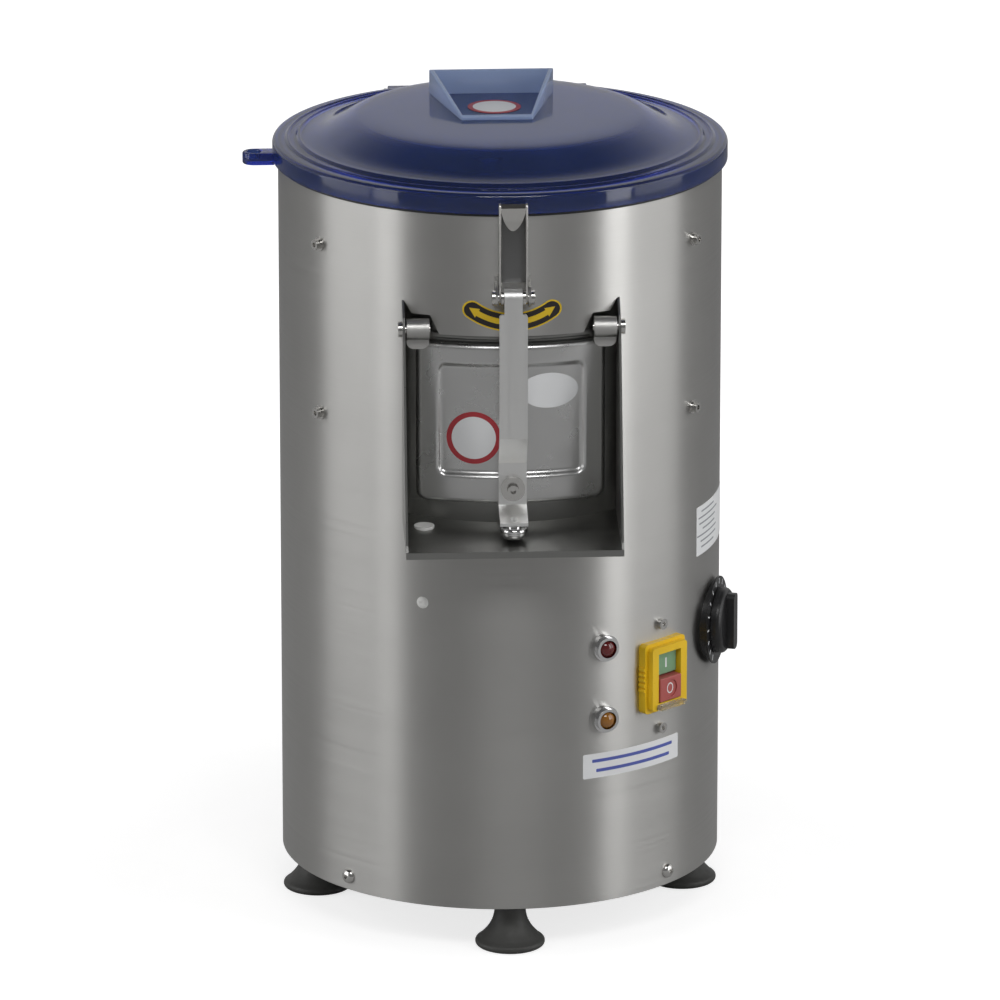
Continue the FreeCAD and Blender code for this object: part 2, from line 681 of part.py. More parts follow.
def make_lid_shell():
    """The see-through lid: skirt, seat rib, spigot rib and a domed top, with the moulded hand-hold."""
    under = 707.3
    shell = turned_z([
        (0, 735), (120, 733.8), (130, 732.2), ((146, 725.8), (158, 718.2)), ((164, 715.4), (172, 714)),
        (188, 711.8), (200.5, 710.4),
        ((203.9, 709.2), (LID_R, 705.5)), (LID_R, LID_BOTTOM), (202.3, LID_BOTTOM), (202.3, under),
        (199.5, under), (199.5, LID_BOTTOM), (197, LID_BOTTOM), (197, under), (183.5, under), (183.5, 685),
        (181, 685), (181, 709.6), (171.5, 711), ((162.5, 712.5), (155.8, 716)), ((144.4, 723), (129.2, 729.2)),
        (120, 730.7), (0, 732),
    ])
    rear, front = 66.0, -35.0
    rear_half, front_half = 56.5, 32.0
    plan = [V(GRIP_X - rear_half, rear, 733), V(GRIP_X + rear_half, rear, 733),
            V(GRIP_X + front_half, front, 733), V(GRIP_X - front_half, front, 733)]
    boss = Part.Face(Part.makePolygon(plan + plan[:1])).extrude(V(0, 0, 24))
    roof = plate_yz([(rear + 10, 757), (rear - 7, 757), (front, 738), (front - 10, 738), (front - 10, 780),
                     (rear + 10, 780)], -100, 100)
    boss = boss.cut(roof)
    uprights = [e for e in boss.Edges if e.BoundBox.ZLength > 4 and e.BoundBox.ZMin < 734]
    boss = boss.makeFillet(7, uprights)
    inner_rear, inner_front = rear - 8, front + 10
    pocket_plan = [V(GRIP_X - 46, inner_rear, 735.2), V(GRIP_X + 46, inner_rear, 735.2),
                   V(GRIP_X + 27, inner_front, 735.2), V(GRIP_X - 27, inner_front, 735.2)]
    pocket = Part.Face(Part.makePolygon(pocket_plan + pocket_plan[:1])).extrude(V(0, 0, 30))
    inside = tube_z(LID_R - 1, 0, 600, 800)
    lug = plate_yz([(190, 694), (205, 684), (215, 683), (221, 686), (224, 692), (223, 702.5), (190, 702.5)],
                   LID_LUG_X0, LID_LUG_X1)
    lug = lug.cut(rod_x(LID_PIN_R + SHAFT_FIT, 60, 100, LID_HINGE_Y, LID_HINGE_Z)).cut(inside)
    ledge = block(-62, 62, 185, 209, 694, 701).cut(inside)
    tab = block(-232, -200, -10.5, 10.5, 689, 700)
    corners = [e for e in tab.Edges if e.BoundBox.ZLength > 5 and e.BoundBox.XMax < -230]
    tab = tab.makeFillet(4, corners).cut(inside)
    return shell.fuse([boss.cut(pocket), lug, mirror_x(lug), ledge, tab])


def make_lid_magnet():
    return on_wall(tube_z(4.5, 0, 699, 707.3, 0, -190.5), -150)


def make_door_panel():
    """A curved pressing with a raised frame round a recessed panel."""
    body = rounded_plate(DOOR_HALF, DOOR_Z0, DOOR_Z1, 9, -210, -140)
    body = body.common(tube_z(DOOR_FACE_R, DOOR_BACK_R, DOOR_Z0 - 1, DOOR_Z1 + 1))
    recess = rounded_plate(RECESS_HALF + 3, RECESS_Z0 - 3, RECESS_Z1 + 3, 9, -210, -140)
    recess = recess.cut(tube_z(DOOR_PANEL_R, 0, DOOR_Z0, DOOR_Z1))
    body = body.cut(recess)
    face_edges = []
    for edge in body.Edges:
        middle = edge.valueAt((edge.FirstParameter + edge.LastParameter) / 2)
        if abs(math.hypot(middle.x, middle.y) - DOOR_FACE_R) < 0.02:
            face_edges.append(edge)
    return body.makeFillet(3.2, face_edges)


def make_door_hinge_straps():
    """A knuckle rolled round each pin, with a round-ended tongue welded to the door frame."""
    x0, x1 = 73.0, 93.0
    roll = rod_x(KNUCKLE_R, x0, x1, DOOR_PIN_Y, DOOR_PIN_Z)
    tongue = rounded_plate((x1 - x0) / 2, 566.5, 590, 7, -188.5, -184.5)
    tongue.translate(V((x0 + x1) / 2, 0, 0))
    tongue = tongue.common(block(x0, x1, -190, -180, 560, 584))
    weld = block(x0 + 1, 83, -186, -175, 568, 575)
    body = roll.fuse([tongue, weld]).cut(tube_z(DOOR_FACE_R, 0, DOOR_Z0, DOOR_Z1))
    body = body.cut(rod_x(DOOR_PIN_R + SHAFT_FIT, 60, 100, DOOR_PIN_Y, DOOR_PIN_Z))
    return [body, mirror_x(body)]


def make_door_seal():
    outer = rounded_plate(81, DOOR_Z0 + 2, DOOR_Z1 - 2, 8, -200, -140)
    inner = rounded_plate(75, DOOR_Z0 + 7, DOOR_Z1 - 8, 8, -200, -140)
    return outer.cut(inner).common(tube_z(DOOR_BACK_R, DRUM_R + 0.4, DOOR_Z0, DOOR_Z1))


def make_clamp_bar():
    """A flat bar with an eye at its top, set back towards the door and turned out again at its foot."""
    half = STRAP_T / 2
    low = STRAP_LOW_Y
    side = [
        (STRAP_Y - half, LATCH_Z), (STRAP_Y - half, 493), (low - half, 466), (low - half, 427.5),
        (-233, 417.5), (-233, 414.5), (low + half, 425), (low + half, 467), (STRAP_Y + half, 494),
        (STRAP_Y + half, LATCH_Z),
    ]
    bar = plate_yz(side, -STRAP_HALF, STRAP_HALF)
    neck = block(-8, 8, -240, -190, NECK_Z, 640)
    wide = rounded_plate(STRAP_HALF, 400, NECK_Z, 3, -240, -190)
    bar = bar.common(neck.fuse(wide))
    eye = rod_x(8.5, -8, 8, LATCH_Y, LATCH_Z)
    bar = bar.fuse(eye).cut(rod_x(LATCH_PIN_R + SHAFT_FIT, -20, 20, LATCH_Y, LATCH_Z))
    bar = bar.cut(rod_y(3, low - 5, low + 5, 0, 443))
    return bar.cut(Part.makeCylinder(3, 12, V(0, -228, 409)))


def make_clamp_boss():
    """The turned collar round the clamp screw."""
    y0 = STRAP_LOW_Y - STRAP_T / 2
    body = rod_y(10.8, y0 - 6, y0, 0, 443)
    return body.cut(rod_y(3, y0 - 7, y0 + 1, 0, 443)).cut(rod_y(5.2, y0 - 7, y0 - 3, 0, 443))


def make_clamp_screw():
    y0 = STRAP_LOW_Y - STRAP_T / 2
    head = rod_y(5.1, y0 - 11, y0 - 3, 0, 443).cut(rod_y(2.6, y0 - 12, y0 - 7, 0, 443))
    return head.fuse(rod_y(3, y0 - 3, y0 + 7, 0, 443))


def make_clamp_pad():
    """The rubber buffer that presses the door home."""
    y0 = STRAP_LOW_Y + STRAP_T / 2
    body = rod_y(9, y0, -DOOR_FACE_R - 0.4, 0, 443)
    return body.cut(rod_y(3, y0 - 1, y0 + 5.6, 0, 443))


def make_pull_knob():
    profile = [(0, 402.6), (8, 402.6), ((10.6, 405), (11.9, 409)), ((12.3, 411.4), (10.6, 413.2)), (6.5, 413.2),
               (6.5, 414.3), (0, 414.3)]
    body = turned_z(profile).translated(V(0, -228, 0))
    body = body.cut(block(-12, 12, -240, -210, 414.3, 420))
    return body.fuse(Part.makeCylinder(3, 7, V(0, -228, 411)))


def make_lever_channel():
    """A U channel open to the front, with its foot round the latch bolt."""
    flange = plate_yz([(-208, LEVER_TOP - 4), (-216, LEVER_TOP), (-220, LEVER_TOP - 3), (-221, 622), (-217, 613.4),
                       (-212, 613.4), (-208, 620)], 11, 12.6)
    web = block(-12.6, 12.6, -209.6, -208, 632, LEVER_TOP - 4)
    body = flange.fuse([mirror_x(flange), web])
    bush = rod_x(7, 8.4, 11.5, LATCH_Y, LATCH_Z)
    body = body.fuse([bush, mirror_x(bush)])
    return body.cut(rod_x(LATCH_PIN_R + SHAFT_FIT, -30, 30, LATCH_Y, LATCH_Z))


def make_lever_tip():
    """The solid tip pressed between the flanges, scooped down to a point."""
    body = plate_yz([(-209.6, LEVER_TOP - 4), (-216, LEVER_TOP - 0.8), (-219.4, LEVER_TOP - 4), (-218, 690),
                     (-211, 678), (-209.6, 678)], -11, 11)
    edge = [(x, 679.5 + 18 * (x / 10.6) ** 2) for x in (-10.6, -8.5, -6.4, -4.3, -2.1, 0)]
    scoop = plate_xz([(-12, 672), (-12, 700), (-10.6, 700)] + edge + [(0, 672)], -230, -200)
    body = body.cut(scoop).cut(mirror_x(scoop))
    for x in (-4.5, 4.5):
        body = body.cut(Part.makeCylinder(1.8, 8, V(x, -214.5, LEVER_TOP - 7)))
    return body


def make_disc():
    """The spinning disc, with three raised waves that throw the load against the lining."""
    body = turned_z([(SHAFT_R, DISC_Z), (26, DISC_Z), (26, DISC_Z + 1), (DISC_R, DISC_Z + 1), (DISC_R, DISC_Z + 7),
                     (SHAFT_R, DISC_Z + 7)])
    for step in range(3):
        wave = Part.makeCylinder(30, 120, V(42, 0, DISC_Z - 9), X_AXIS)
        wave = wave.common(block(40, 170, -40, 40, DISC_Z + 6.5, DISC_Z + 40))
        wave.rotate(V(0, 0, 0), Z_AXIS, step * 120 + 30)
        body = body.fuse(wave)
    return body


def make_main_shaft():
    top = DISC_Z + 7
    return tube_z(SHAFT_R, 0, PULLEY_Z - 8, top).fuse(tube_z(6, 0, top, top + 16))


def make_disc_nut():
    top = DISC_Z + 7
    return turned_z([(6, top), (20, top), (20, top + 6), ((17, top + 14), (9, top + 20)), (0, top + 20),
                     (0, top + 16), (6, top + 16)])


def make_motor_shaft():
    return tube_z(9.5, 0, MOTOR_TOP - 28, PULLEY_Z + PULLEY_H + 4, MOTOR_X, MOTOR_Y)


def save(name, solids):
    """Write one sub-part, which may be a group of separate solids."""
    group = solids if isinstance(solids, list) else [solids]
    clean = []
    for shape in group:
        shape = shape.removeSplitter()
        if len(shape.Solids) != 1:
            print("check", name, "has", len(shape.Solids), "solids in one piece")
        if not shape.isValid():
            print("check", name, "is not valid")
        clean.extend(shape.Solids)
    whole = clean[0] if len(clean) == 1 else Part.makeCompound(clean)
    whole.exportStep(os.path.join("parts", name + ".step"))


def main():
    os.makedirs("parts", exist_ok=True)
    parts = {
        "casing": make_casing(),
        "drum": make_drum(),
        "abrasive_lining": make_lining(),
        "chamber_floor": make_chamber_floor(),
        "discharge_chute": make_chute(),
        "drum_spacers": make_drum_spacers(),
        "casing_screws": make_casing_screws(),
        "base_plate": make_base_plate(),
        "rubber_feet": make_feet(),
        "foot_bolts": make_foot_bolts(),
        "base_screws": make_base_screws(),
        "lid_gasket": make_lid_gasket(),
        "lid_hinge_brackets": make_lid_hinge_brackets(),
        "lid_hinge_bolts": make_lid_hinge_bolts(),
        "latch_bracket": make_latch_bracket(),
        "latch_bolt": make_latch_bolt(),
        "door_pins": make_door_pins(),
        "bearing_housing": make_bearing_housing(),
        "shaft_bearings": make_shaft_bearings(),
        "shaft_seal": make_shaft_seal(),
        "motor_body": make_motor_body(),
        "motor_bracket": make_motor_bracket(),
        "drive_belt": make_drive_belt(),
        "drain_spout": make_drain_spout(),
        "water_inlet": make_water_inlet(),
        "cable_gland": make_cable_gland(),
        "control_box": make_control_box(),
        "run_capacitor": make_run_capacitor(),
        "switch_frame": make_switch_frame(),
        "switch_body": make_switch_body(),
        "switch_cover": make_switch_cover(),
        "switch_screws": make_switch_screws(),
        "start_button": button(1.2, 22.2, 207.0, False),
        "stop_button": button(-22.2, -0.2, 213.5, True),
        "lamp_bezels": make_lamp_bezels(),
        "red_lens": make_lens(RED_LAMP_Z),
        "amber_lens": make_lens(AMBER_LAMP_Z),
        "timer_body": make_timer_body(),
        "timer_dial": make_timer_dial(),
        "timer_knob": make_timer_knob(),
        "hole_plugs": make_hole_plugs(),
        "lid_sensor": make_lid_sensor(),
        "lid_shell": make_lid_shell(),
        "lid_magnet": make_lid_magnet(),
        "door_panel": make_door_panel(),
        "door_hinge_straps": make_door_hinge_straps(),
        "door_seal": make_door_seal(),
        "clamp_bar": make_clamp_bar(),
        "clamp_boss": make_clamp_boss(),
        "clamp_screw": make_clamp_screw(),
        "clamp_pad": make_clamp_pad(),
        "pull_knob": make_pull_knob(),
        "lever_channel": make_lever_channel(),
        "lever_tip": make_lever_tip(),
        "abrasive_disc": make_disc(),
        "main_shaft": make_main_shaft(),
        "disc_nut": make_disc_nut(),
        "driven_pulley": make_driven_pulley(),
        "drive_pulley": pulley(DRIVER_R, MOTOR_X, MOTOR_Y, 9.5),
        "motor_shaft": make_motor_shaft(),
    }
    for name, solids in parts.items():
        save(name, solids)
    print(len(parts), "sub-parts")
    return parts


main()
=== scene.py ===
# %% [markdown]
# # A catering potato peeler
# The machine is a brushed steel drum on four rubber feet, with a see-through blue lid, a front
# door under a chute, and a yellow switch, two lamps and a timer on its right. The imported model
# gives every piece its place. This lesson dresses that frame: it sets the studio and the camera,
# makes the finishes from nodes, and swaps the pieces whose surface matters most for finer meshes.

# %% Load the frame
import json
import math

import bpy
import bmesh
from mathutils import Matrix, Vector


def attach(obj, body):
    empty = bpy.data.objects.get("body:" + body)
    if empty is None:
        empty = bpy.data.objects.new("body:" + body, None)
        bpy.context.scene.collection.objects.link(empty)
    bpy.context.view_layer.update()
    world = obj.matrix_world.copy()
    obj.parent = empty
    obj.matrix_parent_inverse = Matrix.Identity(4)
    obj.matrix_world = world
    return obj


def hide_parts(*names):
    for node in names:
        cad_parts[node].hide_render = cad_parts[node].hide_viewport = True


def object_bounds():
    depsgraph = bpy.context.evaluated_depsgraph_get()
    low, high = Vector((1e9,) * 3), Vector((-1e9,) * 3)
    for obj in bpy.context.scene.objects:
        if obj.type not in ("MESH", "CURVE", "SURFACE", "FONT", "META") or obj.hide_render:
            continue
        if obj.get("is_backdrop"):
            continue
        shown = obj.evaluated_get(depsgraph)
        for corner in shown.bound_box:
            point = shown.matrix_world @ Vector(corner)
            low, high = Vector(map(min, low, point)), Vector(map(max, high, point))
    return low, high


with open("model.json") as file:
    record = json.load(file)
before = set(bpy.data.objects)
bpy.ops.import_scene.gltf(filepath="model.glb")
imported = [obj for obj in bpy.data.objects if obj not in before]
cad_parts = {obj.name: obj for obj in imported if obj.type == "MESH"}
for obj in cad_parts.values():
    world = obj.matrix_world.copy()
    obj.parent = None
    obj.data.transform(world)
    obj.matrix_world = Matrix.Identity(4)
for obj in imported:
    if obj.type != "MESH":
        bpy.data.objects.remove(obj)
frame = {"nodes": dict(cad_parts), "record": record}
cad_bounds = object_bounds()
nodes = frame["nodes"]
slots = {part["node"]: part["material_slot"] for part in frame["record"]["subparts"]}
MM = 0.001
CASING_R = 200.0
SWITCH_AZ, SWITCH_Z = 43.0, 248.0
TIMER_AZ, TIMER_Z = 72.0, 271.0
SERVICE_AZ, SERVICE_Z = 34.5, 174.0
DATA_AZ, DATA_Z = 72.0, 366.0
ARROW_Z = 593.0
print("loaded", len(nodes), "nodes", "box", cad_bounds)

# %% [markdown]
# ## Building blocks
# Round pieces are turned on a lathe, as the real ones are spun or moulded, so one function turns
# a profile into a mesh. Curved faces are shaded smooth and edges past a set angle stay sharp,
# which is cheaper than beveling what is already fine enough. All sizes are written in
# millimetres, because the real pieces are, and become metres at the last step. A place on the
# casing is an azimuth in degrees, counted from the front towards the right, and a height.


# %% Mesh helpers
def piece(name, verts, faces, material, body, replaced=(), sharp=30.0):
    """Make an object from millimetre points, shade it smooth and let it ride on its body."""
    obj = raw(name, verts, faces)
    finish_piece(obj, material, body, replaced, sharp)
    return obj


def face_outward(mesh):
    """Turn every face of a closed mesh to its outside."""
    work = bmesh.new()
    work.from_mesh(mesh)
    bmesh.ops.recalc_face_normals(work, faces=work.faces)
    work.to_mesh(mesh)
    work.free()


def finish_piece(obj, material, body, replaced=(), sharp=30.0):
    """Face every surface outward, shade it, give it its material, hang it on its body and hide what it
    replaces.
    """
    face_outward(obj.data)
    obj.data.shade_smooth()
    obj.data.set_sharp_from_angle(angle=math.radians(sharp))
    obj.data.materials.clear()
    obj.data.materials.append(material)
    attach(obj, body)
    if replaced:
        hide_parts(*replaced)


def lathe_points(profile, segments, centre=(0.0, 0.0)):
    """Points and faces of a closed (r, z) profile turned about an upright axis."""
    verts = []
    faces = []
    count = len(profile)
    for step in range(segments):
        angle = 2 * math.pi * step / segments
        for r, z in profile:
            verts.append((centre[0] + r * math.sin(angle), centre[1] - r * math.cos(angle), z))
    for step in range(segments):
        here = step * count
        there = ((step + 1) % segments) * count
        for k in range(count):
            n = (k + 1) % count
            faces.append((here + k, there + k, there + n, here + n))
    return verts, faces


def arc(centre, radius, start, end, steps=8):
    """Points of a circle arc in the profile plane, angles in degrees."""
    found = []
    for k in range(steps + 1):
        a = math.radians(start + (end - start) * k / steps)
        found.append((centre[0] + radius * math.cos(a), centre[1] + radius * math.sin(a)))
    return found


def curve_through(points, steps=6):
    """A smooth line through a few profile points."""
    found = [points[0]]
    for i in range(len(points) - 1):
        p0 = points[max(i - 1, 0)]
        p1, p2 = points[i], points[i + 1]
        p3 = points[min(i + 2, len(points) - 1)]
        for k in range(1, steps + 1):
            t = k / steps
            found.append(tuple(
                0.5 * (2 * b + (c - a) * t + (2 * a - 5 * b + 4 * c - d) * t * t
                       + (3 * b - a - 3 * c + d) * t ** 3)
                for a, b, c, d in zip(p0, p1, p2, p3)))
    return found


def to_wall(point, azimuth, height, stand=0.0):
    """Carry a flat drawing, x to the right and z up, onto the casing's curve."""
    x, z = point
    a = math.radians(azimuth) + x / CASING_R
    r = CASING_R + stand
    return (r * math.sin(a), -r * math.cos(a), height + z)


def at_azimuth(point, azimuth, height):
    """Turn a point made at the front of the casing to an azimuth and raise it."""
    a = math.radians(azimuth)
    x, y, z = point
    return (x * math.cos(a) - y * math.sin(a), x * math.sin(a) + y * math.cos(a), z + height)


def apply_modifiers(obj):
    """Keep the mesh as its modifiers leave it."""
    graph = bpy.context.evaluated_depsgraph_get()
    old = obj.data
    obj.data = bpy.data.meshes.new_from_object(obj.evaluated_get(graph))
    obj.modifiers.clear()
    bpy.data.meshes.remove(old)


def cut(obj, cutter, operation="DIFFERENCE"):
    """Cut one solid with another, or join it on, and drop the second."""
    step = obj.modifiers.new("cut", "BOOLEAN")
    step.operation = operation
    step.solver = "EXACT"
    step.object = cutter
    apply_modifiers(obj)
    bpy.data.objects.remove(cutter)


def raw(name, verts, faces):
    """A mesh object without a material or a body yet, for cutters and blanks."""
    mesh = bpy.data.meshes.new(name)
    mesh.from_pydata([Vector(v) * MM for v in verts], [], faces)
    mesh.validate()
    face_outward(mesh)
    obj = bpy.data.objects.new(name, mesh)
    bpy.context.scene.collection.objects.link(obj)
    return obj


def prism(name, outline, low, high, axis):
    """A polygon given in two coordinates, drawn out along the third."""
    verts = []
    for level in (low, high):
        for a, b in outline:
            verts.append({"x": (level, a, b), "y": (a, level, b), "z": (a, b, level)}[axis])
    count = len(outline)
    faces = [tuple(range(count)), tuple(range(2 * count - 1, count - 1, -1))]
    faces += [(k, (k + 1) % count, count + (k + 1) % count, count + k) for k in range(count)]
    return raw(name, verts, faces)


def soften(obj, width, segments=3, angle=35.0):
    """Round the edges, as a press, a mould or a polisher leaves them, and apply it."""
    step = obj.modifiers.new("soften", "BEVEL")
    step.width = width * MM
    step.segments = segments
    step.limit_method = "ANGLE"
    step.angle_limit = math.radians(angle)
    step.harden_normals = False
    apply_modifiers(obj)


print("mesh helpers ready")

# %% [markdown]
# ## Finishes
# Every finish is a small node tree on one shader. Brushed steel is the one that sells the
# machine: a bright metal whose fine scratches run round the drum. A noise squeezed hard in
# height and stretched sideways gives those lines, and it drives both the roughness and a very
# shallow bump, so the highlights break up the way real satin steel does.


# %% Node helpers
def new_material(name):
    """A material with an empty Principled shader, returned with its tree and shader."""
    material = bpy.data.materials.new(name)
    material.use_nodes = True
    tree = material.node_tree
    shader = tree.nodes["Principled BSDF"]
    return material, tree, shader


def add(tree, kind, **values):
    """Add a node and set its properties or inputs by name."""
    node = tree.nodes.new(kind)
    for key, value in values.items():
        if hasattr(node, key):
            setattr(node, key, value)
        else:
            node.inputs[key.replace("_", " ")].default_value = value
    return node


def stretched_noise(tree, stretch, scale, detail=4.0):
    """Noise in object space, squeezed or stretched along each axis."""
    where = add(tree, "ShaderNodeTexCoord")
    mapping = add(tree, "ShaderNodeMapping", vector_type="POINT")
    mapping.inputs["Scale"].default_value = stretch
    noise = add(tree, "ShaderNodeTexNoise", Scale=scale, Detail=detail)
    tree.links.new(where.outputs["Object"], mapping.inputs["Vector"])
    tree.links.new(mapping.outputs["Vector"], noise.inputs["Vector"])
    return noise


def mapped(tree, source, from_low, from_high, low, high):
    """Carry one range of a signal to another, and hold it at both ends."""
    node = add(tree, "ShaderNodeMapRange", From_Min=from_low, From_Max=from_high, To_Min=low, To_Max=high)
    tree.links.new(source, node.inputs["Value"])
    return node.outputs["Result"]


def ranged(tree, source, low, high):
    """Carry the middle half of a noise, where nearly all of it lies, to a range."""
    return mapped(tree, source, 0.25, 0.75, low, high)


def product(tree, first, second):
    """Multiply two signals."""
    node = add(tree, "ShaderNodeMath", operation="MULTIPLY")
    tree.links.new(first, node.inputs[0])
    tree.links.new(second, node.inputs[1])
    return node.outputs[0]


def bump(tree, shader, source, strength, distance):
    """Feed a height signal into the shader's normal."""
    node = add(tree, "ShaderNodeBump", Strength=strength, Distance=distance)
    tree.links.new(source, node.inputs["Height"])
    tree.links.new(node.outputs["Normal"], shader.inputs["Normal"])


def tinted(tree, shader, source, dark, light):
    """Vary the base colour between two tones."""
    ramp = add(tree, "ShaderNodeValToRGB")
    ramp.color_ramp.elements[0].position = 0.3
    ramp.color_ramp.elements[0].color = (*dark, 1)
    ramp.color_ramp.elements[1].position = 0.7
    ramp.color_ramp.elements[1].color = (*light, 1)
    tree.links.new(source, ramp.inputs["Fac"])
    tree.links.new(ramp.outputs["Color"], shader.inputs["Base Color"])


def steel(name, tone, rough, stretch, scale, depth, brushed=False):
    """Brushed or satin steel. Brushing round the drum spreads each highlight up and down."""
    material, tree, shader = new_material(name)
    grain = stretched_noise(tree, stretch, scale, 3.0)
    cloud = stretched_noise(tree, (1, 1, 1), 9.0, 2.0)
    shader.inputs["Metallic"].default_value = 1.0
    if brushed:
        around = add(tree, "ShaderNodeTangent", direction_type="RADIAL", axis="Z")
        tree.links.new(around.outputs["Tangent"], shader.inputs["Tangent"])
        shader.inputs["Anisotropic"].default_value = 0.85
        shader.inputs["Anisotropic Rotation"].default_value = 0.25
    low = tuple(c * 0.93 for c in tone)
    tinted(tree, shader, cloud.outputs["Fac"], low, tone)
    tree.links.new(ranged(tree, grain.outputs["Fac"], rough * 0.8, rough * 1.2), shader.inputs["Roughness"])
    bump(tree, shader, grain.outputs["Fac"], 0.25, depth)
    return material


def plastic(name, colour, rough, grain_scale=400.0, depth=0.00004, vary=0.06):
    """Moulded plastic or rubber: one colour, slightly uneven, with a fine texture."""
    material, tree, shader = new_material(name)
    grain = stretched_noise(tree, (1, 1, 1), grain_scale, 3.0)
    cloud = stretched_noise(tree, (1, 1, 1), 25.0, 2.0)
    dark = tuple(max(c * (1 - vary), 0) for c in colour)
    light = tuple(min(c * (1 + vary), 1) for c in colour)
    tinted(tree, shader, cloud.outputs["Fac"], dark, light)
    tree.links.new(ranged(tree, grain.outputs["Fac"], rough * 0.85, rough * 1.15), shader.inputs["Roughness"])
    bump(tree, shader, grain.outputs["Fac"], 0.3, depth)
    return material


print("node helpers ready")

# %% [markdown]
# The steels differ in how they were made. The casing and the chute are brushed sheet with the
# grain lying flat; the chute's steel, also used for the drum, is darkened as painted shade. The
# clamp bar and the lever's web are brushed along their length. The bar's steel is brightened as a
# painted highlight, and the web's is darkened as painted shade for the shade it lies in. The door
# is pressed and tumbled. Screws and pins are turned, so they are smoother and brighter.

# %% Steels
STEEL_TONE = (0.52, 0.515, 0.50)
finish = {}
finish["steel"] = steel("brushed_casing_steel", STEEL_TONE, 0.36, (1.2, 1.2, 900), 1.0, 0.000008, True)
# painted shade: the lever web's steel is darkened to stand in for the shade between the flanges
finish["shade_steel"] = steel("lever_web_steel_painted_shade", (0.22, 0.22, 0.22), 0.35, (400, 400, 3), 1.0, 0.00001)
# painted shade: the chute's and the drum's steel is darkened to stand in for the shade inside the opening
finish["painted_shade_chute_steel"] = steel("chute_and_drum_steel_painted_shade", (0.30, 0.30, 0.29), 0.34, (1.2, 1.2, 900), 1.0, 0.000008)
# painted highlight: the bar's steel is brightened past the casing's to stand in for the light its front face
# catches
finish["painted_highlight_bar_steel"] = steel("clamp_bar_painted_highlight_steel", (0.88, 0.88, 0.87), 0.42, (400, 400, 3), 1.0, 0.00001)
finish["zinc"] = steel("zinc_plated_steel", (0.50, 0.51, 0.52), 0.36, (60, 60, 60), 1.0, 0.00003)
finish["cast_alloy"] = steel("tumbled_door_steel", (0.66, 0.66, 0.655), 0.30, (20, 20, 20), 2.0, 0.00003)
finish["bright_steel"] = steel("turned_steel", (0.66, 0.65, 0.63), 0.18, (40, 40, 300), 1.0, 0.00002)
finish["chrome"] = steel("polished_chrome", (0.75, 0.75, 0.75), 0.08, (30, 30, 30), 1.0, 0.00001)
finish["motor_grey"] = plastic("motor_paint", (0.22, 0.24, 0.26), 0.45)
print("steels:", [m.name for m in finish.values()])

# %% [markdown]
# Rubber and plastics share one recipe with different numbers. The feet are matt grey rubber,
# the switch is glossy yellow, and its buttons are a muted green and red. Labels use the same
# recipe, with almost no grain.

# %% Plastics and rubber
finish["foot_rubber"] = plastic("foot_rubber", (0.050, 0.050, 0.047), 0.55, 260.0, 0.0001, 0.15)
finish["seal_rubber"] = plastic("seal_rubber", (0.012, 0.012, 0.013), 0.5)
finish["yellow_plastic"] = plastic("switch_yellow", (0.86, 0.55, 0.015), 0.32)
finish["green_plastic"] = plastic("start_green", (0.20, 0.36, 0.21), 0.32)
finish["red_plastic"] = plastic("stop_red", (0.44, 0.10, 0.09), 0.32)
finish["black_plastic"] = plastic("knob_black", (0.013, 0.013, 0.014), 0.34)
finish["white_plastic"] = plastic("plug_white", (0.78, 0.78, 0.76), 0.4)
finish["label_white"] = plastic("label_white", (0.80, 0.81, 0.82), 0.45, 60.0, 0.00001, 0.02)
finish["label_yellow"] = plastic("label_yellow", (0.72, 0.49, 0.02), 0.40, 60.0, 0.00001, 0.04)
finish["label_black"] = plastic("label_black", (0.016, 0.013, 0.013), 0.40, 60.0, 0.00001, 0.04)
finish["label_red"] = plastic("label_red", (0.42, 0.035, 0.045), 0.40, 60.0, 0.00001, 0.04)
finish["label_blue"] = plastic("label_blue", (0.08, 0.11, 0.42), 0.40, 60.0, 0.00001, 0.04)
finish["label_grey"] = plastic("label_grey", (0.30, 0.31, 0.33), 0.45, 60.0, 0.00001, 0.04)
print("finishes so far:", len(finish))

# %% [markdown]
# The abrasive on the disc and the drum's wall is carborundum grit in resin. Two sizes of cell
# texture give its broken, sparkling surface.


# %% Grit
def grit_finish():
    """Dark grit with a broken surface and a little sparkle."""
    material, tree, shader = new_material("carborundum_grit")
    where = add(tree, "ShaderNodeTexCoord")
    cells = add(tree, "ShaderNodeTexVoronoi", Scale=420.0)
    tree.links.new(where.outputs["Object"], cells.inputs["Vector"])
    cloud = stretched_noise(tree, (1, 1, 1), 60.0, 4.0)
    tinted(tree, shader, cloud.outputs["Fac"], (0.03, 0.028, 0.026), (0.12, 0.11, 0.10))
    tree.links.new(ranged(tree, cells.outputs["Distance"], 0.35, 0.8), shader.inputs["Roughness"])
    bump(tree, shader, cells.outputs["Distance"], 0.8, 0.001)
    return material


finish["abrasive"] = grit_finish()
print("grit ready")

# %% [markdown]
# The lid is moulded polycarbonate, deep blue where it is thick. Light passes through it, and its
# gloss picks up the pale room at a low angle, which is why its flat top looks grey from the
# front. Transmission gives the first and the shader's own Fresnel gives the second. Its hand-hold
# is paler and less clear: painted light, standing in for the light that catches those thin walls.
# The lamps' lenses and the switch's clear hood use the same recipe.


